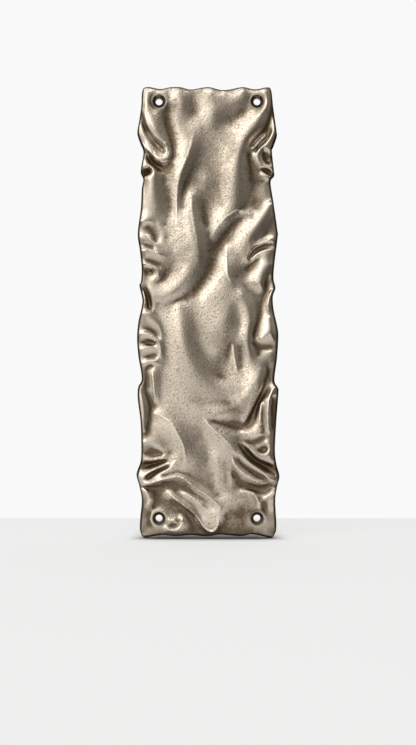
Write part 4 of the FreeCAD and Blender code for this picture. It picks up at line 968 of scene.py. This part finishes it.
class Outline:
    """The plate's wavy outline, and the net of points stretched between its four edges."""

    def __init__(self, relief):
        self.left, self.right = relief.edge(LEFT_EDGE), relief.edge(RIGHT_EDGE)
        self.top, self.foot = relief.edge(TOP_EDGE), relief.edge(FOOT_EDGE)

    @staticmethod
    def along(edge, share, axis):
        """The points of an edge at shares of its run along one axis."""
        shares = (edge[:, axis] - edge[0, axis]) / (edge[-1, axis] - edge[0, axis])
        order = np.argsort(shares)
        return [np.interp(share, shares[order], edge[order, k]) for k in (0, 1)]

    def inside(self, s, t):
        """The points at shares s across and t down, with the edges' waves dying away inwards."""
        left, right = self.along(self.left, t, 1), self.along(self.right, t, 1)
        top, foot = self.along(self.top, s, 0), self.along(self.foot, s, 0)
        corners = self.left[0], self.right[0], self.left[-1], self.right[-1]
        places = []
        for axis in (0, 1):
            a, b, c, d = (corner[axis] for corner in corners)
            sides = (1 - s) * left[axis] + s * right[axis]
            ends = (1 - t) * top[axis] + t * foot[axis]
            twice = (1 - t) * ((1 - s) * a + s * b) + t * ((1 - s) * c + s * d)
            places.append(sides + ends - twice)
        return places


def rim_section(sizes):
    """The rim from the door to the face: how far in each ring lies, and how far below the face."""
    corner = np.radians((0, 22.5, 45, 67.5, 90))
    rolled_in = sizes.side_draft + sizes.rim_radius * (1 - np.cos(corner))
    rolled_down = sizes.rim_radius * (1 - np.sin(corner))
    return np.concatenate(((0.0,), rolled_in)), rolled_down


def net_shares(count, length, rings_in, crowding):
    """Shares of a length for the net's lines: the rim's rings at both ends, the face between."""
    ends = rings_in / length
    turn = np.linspace(0, 2 * np.pi, count + 2 - 2 * len(ends))[1:-1]
    face = ends[-1] + (1 - 2 * ends[-1]) * (turn - crowding * np.sin(turn)) / (2 * np.pi)
    return np.concatenate((ends, face, 1 - ends[::-1]))


def ring_numbers(rows, columns):
    """How many rings each point of a net lies in from its border."""
    i, j = np.mgrid[:rows, :columns]
    return np.minimum(np.minimum(i, j), np.minimum(rows - 1 - i, columns - 1 - j))


def kept_in_box(net, sizes):
    """The net's points, kept within the plate's overall width, depth and height."""
    grown = np.array((sizes.width, sizes.overall_depth, sizes.height)) / PLATE_SIZE
    return np.clip(net, np.array(PLATE_LOW) * grown, np.array(PLATE_HIGH) * grown)


def casting_net(sizes, relief):
    """The casting's skin as a grid of points, from the door over the rim and across the face."""
    outline = Outline(relief)
    rings_in, rings_down = rim_section(sizes)
    across = net_shares(sizes.points_across, sizes.width, rings_in, sizes.side_crowding)
    down = net_shares(sizes.points_down, sizes.height, rings_in, 0.0)
    s, t = np.meshgrid(across, down)
    rim = len(rings_in) - 1
    x, z = outline.inside(s, t)
    face = outline.inside(
        np.clip(s, across[rim], across[-1 - rim]), np.clip(t, down[rim], down[-1 - rim])
    )
    depth = relief.at(relief.height, *face)
    ring = ring_numbers(*depth.shape)
    for k in range(1, rim + 1):
        depth = np.where(ring == k, depth - rings_down[k - 1], depth)
    depth = np.where(ring == 0, 0.0, depth)
    return kept_in_box(np.stack((x, -depth, z), axis=-1), sizes)


def net_mesh(name, net):
    """A closed mesh of a net whose outer ring lies on the door."""
    rows, columns, _ = net.shape
    numbers = np.arange(rows * columns).reshape(rows, columns)
    a, b = numbers[:-1, :-1], numbers[:-1, 1:]
    c, d = numbers[1:, 1:], numbers[1:, :-1]
    quads = np.stack((a, d, c, b), axis=-1).reshape(-1, 4)
    back = np.concatenate(
        (numbers[0, :], numbers[1:, -1], numbers[-1, -2::-1], numbers[-2:0:-1, 0])
    )
    mesh = bpy.data.meshes.new(name)
    mesh.from_pydata(net.reshape(-1, 3), [], quads.tolist() + [back.tolist()])
    mesh.validate()
    # The rim's painted shade, ring by ring.
    shade = np.interp(ring_numbers(rows, columns), range(len(RIM_SHADE)), RIM_SHADE)
    mesh.attributes.new("rim", "FLOAT", "POINT").data.foreach_set("value", shade.ravel())
    return mesh


def add_object(name, data):
    """A new object in the scene, from its mesh, lamp or camera."""
    piece = bpy.data.objects.new(name, data)
    bpy.context.scene.collection.objects.link(piece)
    return piece


def screw_cutter(sizes):
    """One mesh with the shape of all the screw holes: shanks with cones at the face."""
    slope = tan(sizes.countersink_angle / 2)
    raised = sizes.relief_depth / 4
    sink = (sizes.countersink_radius - sizes.screw_hole_radius) / slope
    section = (
        (sizes.screw_hole_radius, sizes.face_thickness),
        (sizes.screw_hole_radius, -sizes.face_thickness + sink),
        (sizes.countersink_radius + raised * slope, -sizes.face_thickness - raised),
    )
    segments = 64
    angles = np.linspace(0, 2 * np.pi, segments, endpoint=False)
    form = bmesh.new()
    for x, z in screw_centres():
        rings = [
            [form.verts.new((x + radius * np.cos(a), y, z + radius * np.sin(a))) for a in angles]
            for radius, y in section
        ]
        for inner, outer in zip(rings, rings[1:]):
            for k in range(segments):
                after = (k + 1) % segments
                form.faces.new((inner[k], inner[after], outer[after], outer[k]))
        form.faces.new(rings[0])
        form.faces.new(rings[-1][::-1])
    bmesh.ops.recalc_face_normals(form, faces=form.faces)
    mesh = bpy.data.meshes.new("screw_cutter")
    form.to_mesh(mesh)
    form.free()
    return add_object("screw_cutter", mesh)


def bore_screw_holes(piece, sizes):
    """Cut the screw holes out of the casting's mesh."""
    cutter = screw_cutter(sizes)
    cut = piece.modifiers.new("screw holes", "BOOLEAN")
    cut.operation, cut.solver, cut.object = "DIFFERENCE", "EXACT", cutter
    bpy.context.view_layer.update()
    shaped = piece.evaluated_get(bpy.context.evaluated_depsgraph_get())
    mesh = bpy.data.meshes.new_from_object(shaped)
    piece.modifiers.remove(cut)
    old, piece.data = piece.data, mesh
    bpy.data.meshes.remove(old)
    bpy.data.objects.remove(cutter)


def wear_and_painted_light_patches(relief, x, z):
    """How much darker points of the plate are painted, from the soft patches: partly patina and wear,
    partly painted shade and highlight.
    """
    wear_and_painted_light = np.zeros(len(x))
    for across, down, half_width, half_height, darker in WEAR_AND_PAINTED_LIGHT_PATCHES:
        left, high = relief.on_plate(across - half_width, down - half_height)
        middle_x, middle_z = relief.on_plate(across, down)
        away = np.hypot((x - middle_x) / (middle_x - left), (z - middle_z) / (high - middle_z))
        wear_and_painted_light += darker * np.exp(-away ** 2)
    return wear_and_painted_light


def mark_wear_and_painted_light(piece, relief):
    """Store on each point how proud, how hollow and how far from the face it is, and the marks that
    place its patina, painted shade and painted highlight.
    """
    mesh, sizes = piece.data, relief.sizes
    places = np.zeros(len(mesh.vertices) * 3)
    mesh.vertices.foreach_get("co", places)
    x, _, z = places.reshape(-1, 3).T
    fine, near, wide, broad = (
        softened(relief.height, radius * MM / relief.step) for radius in (FINE, NEAR, WIDE, BROAD)
    )
    in_screw_hole = from_nearest_screw(x, z) < sizes.countersink_radius * 1.01
    marks = {
        "crisp": relief.at((fine - near) / MM, x, z),
        "proud": relief.at((near - wide) / MM, x, z),
        "deep": relief.at((broad - wide) / MM, x, z),
        "low": (sizes.face_thickness - relief.at(near, x, z)) / MM,
        "wear_and_painted_light": wear_and_painted_light_patches(relief, x, z),
        "inward": 1 - np.abs(x) / (sizes.width / 2),
        "sunk": in_screw_hole.astype(float),
        "rubbed_and_highlit": relief.at(relief.rubbed_and_highlit, x, z),
    }
    for name, values in marks.items():
        layer = mesh.attributes.new(name, "FLOAT", "POINT")
        layer.data.foreach_set("value", values)


class NodeSheet:
    """Lays out a material's or world's nodes and their links."""

    def __init__(self, owner):
        owner.use_nodes = True
        self.tree = owner.node_tree
        self.tree.nodes.clear()

    def add(self, kind, inputs=(), **settings):
        """A new node with its settings, and with its inputs fed."""
        node = self.tree.nodes.new(kind)
        for name, value in settings.items():
            setattr(node, name, value)
        for name, value in dict(inputs).items():
            self.feed(node, name, value)
        return node

    def feed(self, node, name, value):
        """Link a socket or a node into an input, or set the input to a plain value."""
        socket = node.inputs[name]
        if isinstance(value, bpy.types.NodeSocket):
            self.tree.links.new(value, socket)
        elif isinstance(value, bpy.types.Node):
            self.tree.links.new(value.outputs[0], socket)
        else:
            socket.default_value = value

    def math(self, operation, a, b=0.0, clamp=False):
        return self.add("ShaderNodeMath", {0: a, 1: b}, operation=operation, use_clamp=clamp)

    def between(self, value, low, high, to_low=0.0, to_high=1.0):
        """A value spread from one range to another, and held inside it."""
        return self.add(
            "ShaderNodeMapRange",
            {"Value": value, "From Min": low, "From Max": high, "To Min": to_low, "To Max": to_high},
        )

    def blend(self, share, first, second):
        """The first colour, and the second where the share is one."""
        node = self.add("ShaderNodeMix", {0: share}, data_type="RGBA")
        self.feed(node, 6, first)
        self.feed(node, 7, second)
        return node.outputs[2]

    def attribute(self, name):
        """A value stored on the mesh."""
        return self.add("ShaderNodeAttribute", attribute_name=name).outputs["Fac"]

    def noise(self, place, spacing, detail, roughness=0.5):
        """Cloudy noise whose lumps stand about one spacing apart."""
        node = self.add(
            "ShaderNodeTexNoise",
            {"Vector": place, "Scale": 1 / spacing, "Detail": detail, "Roughness": roughness},
        )
        return node.outputs["Fac"]


def rgba(colour):
    """A colour with full opacity, as sockets take it."""
    return (*colour, 1.0)


def back_share(nodes):
    """One on the back of the plate, else nought."""
    facing = nodes.add("ShaderNodeTexCoord").outputs["Normal"]
    facing = nodes.add("ShaderNodeSeparateXYZ", {0: facing}).outputs["Y"]
    return nodes.math("GREATER_THAN", facing, 0.9)


def patina_and_painted_light(nodes, place, pitted, grain_share, finish):
    """How dark the metal is on the face: in hollows, partly patina and partly painted shade, with
    painted shade beside crests and a painted highlight on them, darker or brighter soft patches, and in
    clouds and in pits.
    """
    cloud = nodes.noise(place, 9 * MM, 4.0, 0.65)
    dark = nodes.between(cloud, 0.36, 0.68, -0.17, 0.2)
    # Patina and painted shade in the hollows and low places, painted shade beside the crisp crests and
    # a painted highlight on them.
    for mark, start, end, darker in DARKENED_BY:
        share = nodes.between(nodes.attribute(mark), start, end, 0.0, darker)
        dark = nodes.math("ADD", dark, share)
    # The soft patches: painted darker, partly patina and partly painted shade.
    dark = nodes.math("ADD", dark, nodes.attribute("wear_and_painted_light"), clamp=True)
    dark = nodes.math("MAXIMUM", dark, nodes.math("MULTIPLY", pitted, grain_share))
    flecks = nodes.noise(place, finish.pit_size, 1.0)
    flecked = nodes.math("MULTIPLY", nodes.between(flecks, 0.3, 0.7, -0.16, 0.16), grain_share)
    return nodes.math("ADD", dark, flecked, clamp=True)


def cast_grain(nodes, place, pitted, grain_share, finish):
    """The grain of the casting as a bump: small pits over wider lumps."""
    pits = nodes.noise(place, finish.pit_size, 1.0)
    lumps = nodes.noise(place, finish.pit_size * 4, 1.0)
    grain = nodes.math("ADD", pits, nodes.math("MULTIPLY", lumps, 0.22))
    grain = nodes.math("SUBTRACT", grain, nodes.math("MULTIPLY", pitted, 0.25))
    strength = nodes.between(grain_share, 0.0, 1.0, 0.2, 1.0)
    return nodes.add(
        "ShaderNodeBump", {"Height": grain, "Distance": finish.pit_depth, "Strength": strength}
    )


def cast_metal(finish):
    """White bronze: bright on its crests, partly rubbed bare and partly a painted highlight, grainy
    between, and dark in its hollows, partly patina and partly painted shade.
    """
    material = bpy.data.materials.new("cast_bronze")
    nodes = NodeSheet(material)
    place = nodes.add("ShaderNodeTexCoord").outputs["Object"]
    back = back_share(nodes)

    def on_front(value):
        return nodes.math("SUBTRACT", value, back, clamp=True)

    grain_share = on_front(nodes.between(nodes.attribute("inward"), 0.14, 0.42))
    specks = nodes.noise(place, finish.pit_size, 3.0, 0.7)
    pitted = nodes.between(specks, 0.58, 0.70, 0.0, 0.8)
    dark = patina_and_painted_light(nodes, place, pitted, grain_share, finish)
    dark = nodes.math("MAXIMUM", dark, back)
    # Painted shade: the countersinks are painted dark.
    sunk = on_front(nodes.attribute("sunk"))
    # Painted shade: the sides are painted dark, ring by ring.
    side = on_front(nodes.math("SUBTRACT", nodes.attribute("rim"), sunk))
    # Painted highlight, partly rubbed bare metal, along the crisp crests.
    rubbed_and_highlit = on_front(nodes.attribute("rubbed_and_highlit"))
    # Brighter soft patches take the burnished colour: partly wear, partly a painted highlight.
    painted_bright = on_front(nodes.between(nodes.attribute("wear_and_painted_light"), -0.3, -0.8, 0.0, 0.55))
    bare_and_highlit = nodes.math("MAXIMUM", rubbed_and_highlit, painted_bright)

    colour = nodes.blend(dark, rgba(finish.metal), rgba(finish.patina_and_shade))
    colour = nodes.blend(bare_and_highlit, colour, rgba(finish.burnished_and_highlight))
    colour = nodes.blend(side, colour, rgba(finish.edge))
    colour = nodes.blend(sunk, colour, rgba(finish.countersink))
    # Painted shade on the sides' reflections as well.
    tint = nodes.blend(side, rgba(WHITE), rgba(finish.edge))

    roughness = nodes.between(
        grain_share, 0.0, 1.0, finish.rubbed_roughness, finish.cast_roughness
    )
    roughness = nodes.math("ADD", roughness, nodes.math("MULTIPLY", dark, 0.1))
    roughness = nodes.math("SUBTRACT", roughness, nodes.math("MULTIPLY", rubbed_and_highlit, 0.14))
    roughness = nodes.math("MAXIMUM", roughness, nodes.math("MULTIPLY", side, 0.6))
    surface = nodes.add(
        "ShaderNodeBsdfPrincipled",
        {
            "Base Color": colour,
            "Metallic": nodes.between(dark, 0.0, 1.0, 1.0, 0.88),
            "Roughness": roughness,
            "Specular Tint": tint,
            "Normal": cast_grain(nodes, place, pitted, grain_share, finish),
        },
    )
    nodes.add("ShaderNodeOutputMaterial", {"Surface": surface})
    return material


def seen_or_mirrored(nodes):
    """One where a surface is looked at, mirrored or seen through glass, else nought."""
    path = nodes.add("ShaderNodeLightPath").outputs
    seen = nodes.math("MAXIMUM", path["Is Camera Ray"], path["Is Glossy Ray"])
    return nodes.math("MAXIMUM", seen, path["Is Transmission Ray"])


def light_left_by_painted_shadow(nodes):
    """The share of the floor left unshaded: little close behind the plate, where a painted shadow
    stands in for its own shadow.
    """
    place = nodes.add("ShaderNodeTexCoord").outputs["Object"]
    place = nodes.add("ShaderNodeSeparateXYZ", {0: place}).outputs
    half = PLATE_SIZE.x / 2
    aside = nodes.math("ABSOLUTE", place["X"])
    abreast = nodes.between(aside, 0.7 * half, 1.1 * half, 1.0, 0.0)
    behind = nodes.math("GREATER_THAN", place["Y"], PLATE_LOW.y)
    shaded = nodes.between(place["Y"], CONTACT_REACH / 2, 3 * CONTACT_REACH, 0.85, 0.0)
    shaded = nodes.math("MULTIPLY", shaded, nodes.math("MULTIPLY", behind, abreast))
    return nodes.math("SUBTRACT", 1.0, shaded)


def pale_floor(colour):
    """A matt floor that keeps the plate's shadow, lifted a little towards white, with a painted contact
    shadow at the plate's foot and a painted shadow close behind it.
    """
    material = bpy.data.materials.new("floor")
    nodes = NodeSheet(material)
    # Painted shadow: the floor's colour and its white lift are darkened where the plate hems it in, and
    # close behind the plate.
    open_air = nodes.add(
        "ShaderNodeAmbientOcclusion", {"Distance": CONTACT_REACH}, samples=16
    ).outputs["AO"]
    open_air = nodes.math("POWER", open_air, 1.5)
    open_air = nodes.math("MULTIPLY", open_air, light_left_by_painted_shadow(nodes))
    shaded = nodes.blend(open_air, rgba(SHADED_FLOOR), rgba(colour))
    matt = nodes.add("ShaderNodeBsdfDiffuse", {"Color": shaded})
    white = nodes.add("ShaderNodeEmission", {"Strength": FLOOR_WHITE})
    share = nodes.math("MULTIPLY", seen_or_mirrored(nodes), FLOOR_LIFT)
    share = nodes.math("MULTIPLY", share, open_air)
    surface = nodes.add("ShaderNodeMixShader", {0: share, 1: matt, 2: white})
    nodes.add("ShaderNodeOutputMaterial", {"Surface": surface})
    return material


def white_backdrop(colour):
    """Matt under the lamps, and plain white where it is looked at or mirrored."""
    material = bpy.data.materials.new("backdrop")
    nodes = NodeSheet(material)
    matt = nodes.add("ShaderNodeBsdfDiffuse", {"Color": rgba(colour)})
    white = nodes.add("ShaderNodeEmission", {"Color": rgba(colour), "Strength": 1.0})
    seen = seen_or_mirrored(nodes)
    surface = nodes.add("ShaderNodeMixShader", {0: seen, 1: matt, 2: white})
    nodes.add("ShaderNodeOutputMaterial", {"Surface": surface})
    return material


class FINGERPLATE_OT_casting(bpy.types.Operator):
    """Add the plate itself: one casting with its folds, rim and screw holes."""

    bl_idname = "finger_plate.casting"
    bl_label = "Casting"
    bl_options = {"REGISTER", "UNDO"}

    def execute(self, context):
        sizes, finish = context.scene.casting_sizes, context.scene.casting_finish
        relief = Relief(sizes)
        net = casting_net(sizes, relief)
        piece = add_object("crumpled_plate", net_mesh("crumpled_plate", net))
        bore_screw_holes(piece, sizes)
        mark_wear_and_painted_light(piece, relief)
        piece.data.shade_smooth()
        piece.data.set_sharp_from_angle(angle=SHARP_FOLD)
        piece.data.materials.clear()
        piece.data.materials.append(cast_metal(finish))
        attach(piece, "root")
        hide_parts(PLATE_NODE)
        return {"FINISHED"}


def add_slab(name, corners, material):
    """A flat sheet that belongs to the stage."""
    mesh = bpy.data.meshes.new(name)
    mesh.from_pydata(corners, [], [tuple(range(len(corners)))])
    slab = add_object(name, mesh)
    mesh.materials.append(material)


def add_lamp(name, place, size, power):
    """A soft lamp of some width and height that shines at the middle of the plate."""
    data = bpy.data.lights.new(name, "AREA")
    data.shape, data.energy = "RECTANGLE", power
    data.size, data.size_y = size
    lamp = add_object(name, data)
    lamp.location = place
    lamp.rotation_euler = (-Vector(place)).to_track_quat("-Z", "Y").to_euler()


def light_all_round(look):
    """A soft surround: grey in front, brighter high on the left, dark low on the right."""
    world = bpy.data.worlds.new("soft_surround")
    bpy.context.scene.world = world
    nodes = NodeSheet(world)
    way = nodes.add("ShaderNodeTexCoord").outputs["Generated"]
    strength = AMBIENT
    for direction, tightness, amount in GLOWS:
        aim = Vector(direction).normalized()
        facing = nodes.add("ShaderNodeVectorMath", {0: way, 1: aim}, operation="DOT_PRODUCT")
        away = nodes.math("SUBTRACT", facing.outputs["Value"], 1.0)
        glow = nodes.math("EXPONENT", nodes.math("MULTIPLY", away, tightness))
        strength = nodes.math("ADD", strength, nodes.math("MULTIPLY", glow, amount))
    total = nodes.math("MULTIPLY", strength, look.sky_strength)
    bright = nodes.between(strength, DIM_LIGHT, BRIGHT_LIGHT)
    colour = nodes.blend(bright, rgba(DIM_COLOUR), rgba(BRIGHT_COLOUR))
    surround = nodes.add("ShaderNodeBackground", {"Color": colour, "Strength": total})
    nodes.add("ShaderNodeOutputWorld", {"Surface": surround})


class FINGERPLATE_OT_stage(bpy.types.Operator):
    """Add the floor, the backdrop, the soft lamps and the camera."""

    bl_idname = "finger_plate.stage"
    bl_label = "Stage"
    bl_options = {"REGISTER", "UNDO"}

    def execute(self, context):
        look, scene = context.scene.stage_look, context.scene
        floor, front, back, half = PLATE_LOW.z, -0.535, 0.115, 0.19
        wall, wide, below, above = 1.3, 0.5, -0.75, 0.65
        add_slab(
            "floor",
            ((-half, front, floor), (half, front, floor), (half, back, floor), (-half, back, floor)),
            pale_floor(look.floor_colour),
        )
        add_slab(
            "backdrop",
            ((-wide, wall, below), (wide, wall, below), (wide, wall, above), (-wide, wall, above)),
            white_backdrop(look.backdrop_colour),
        )
        add_lamp("key_lamp", (-0.75, -0.80, 0.45), (0.5, 0.7), look.key_strength)
        add_lamp("strip_lamp", (0, -0.75, 0.75), (1.2, 0.1), look.strip_strength)
        light_all_round(look)

        lens = bpy.data.cameras.new("camera")
        lens.lens, lens.sensor_width = look.camera_lens, SENSOR_WIDTH
        lens.shift_y = CAMERA_SHIFT
        camera = add_object("camera", lens)
        camera.location = (0, -look.camera_distance, floor + look.camera_height)
        camera.rotation_euler = (radians(90), 0, 0)
        scene.camera = camera
        scene.view_settings.view_transform = "Standard"
        return {"FINISHED"}


class FINGERPLATE_PT_sidebar(bpy.types.Panel):
    """Lists the finger plate's sizes and what can be added."""

    bl_label = "Finger Plate"
    bl_space_type = "VIEW_3D"
    bl_region_type = "UI"
    bl_category = "Finger Plate"

    def draw(self, context):
        scene = context.scene
        for title, settings in (
            ("Sizes", scene.casting_sizes),
            ("Finish", scene.casting_finish),
            ("Stage", scene.stage_look),
        ):
            box = self.layout.box()
            box.label(text=title)
            for name in type(settings).__annotations__:
                box.prop(settings, name)
        for operator in STEPS:
            self.layout.operator(operator.bl_idname)


STEPS = (FINGERPLATE_OT_casting, FINGERPLATE_OT_stage)
CLASSES = (CastingSizes, CastingFinish, StageLook, *STEPS, FINGERPLATE_PT_sidebar)


def register():
    for each in CLASSES:
        bpy.utils.register_class(each)
    bpy.types.Scene.casting_sizes = PointerProperty(type=CastingSizes)
    bpy.types.Scene.casting_finish = PointerProperty(type=CastingFinish)
    bpy.types.Scene.stage_look = PointerProperty(type=StageLook)


def unregister():
    del bpy.types.Scene.casting_sizes
    del bpy.types.Scene.casting_finish
    del bpy.types.Scene.stage_look
    for each in reversed(CLASSES):
        bpy.utils.unregister_class(each)


def main():
    register()
    bpy.ops.finger_plate.casting()
    bpy.ops.finger_plate.stage()


if __name__ == "__main__":
    main()
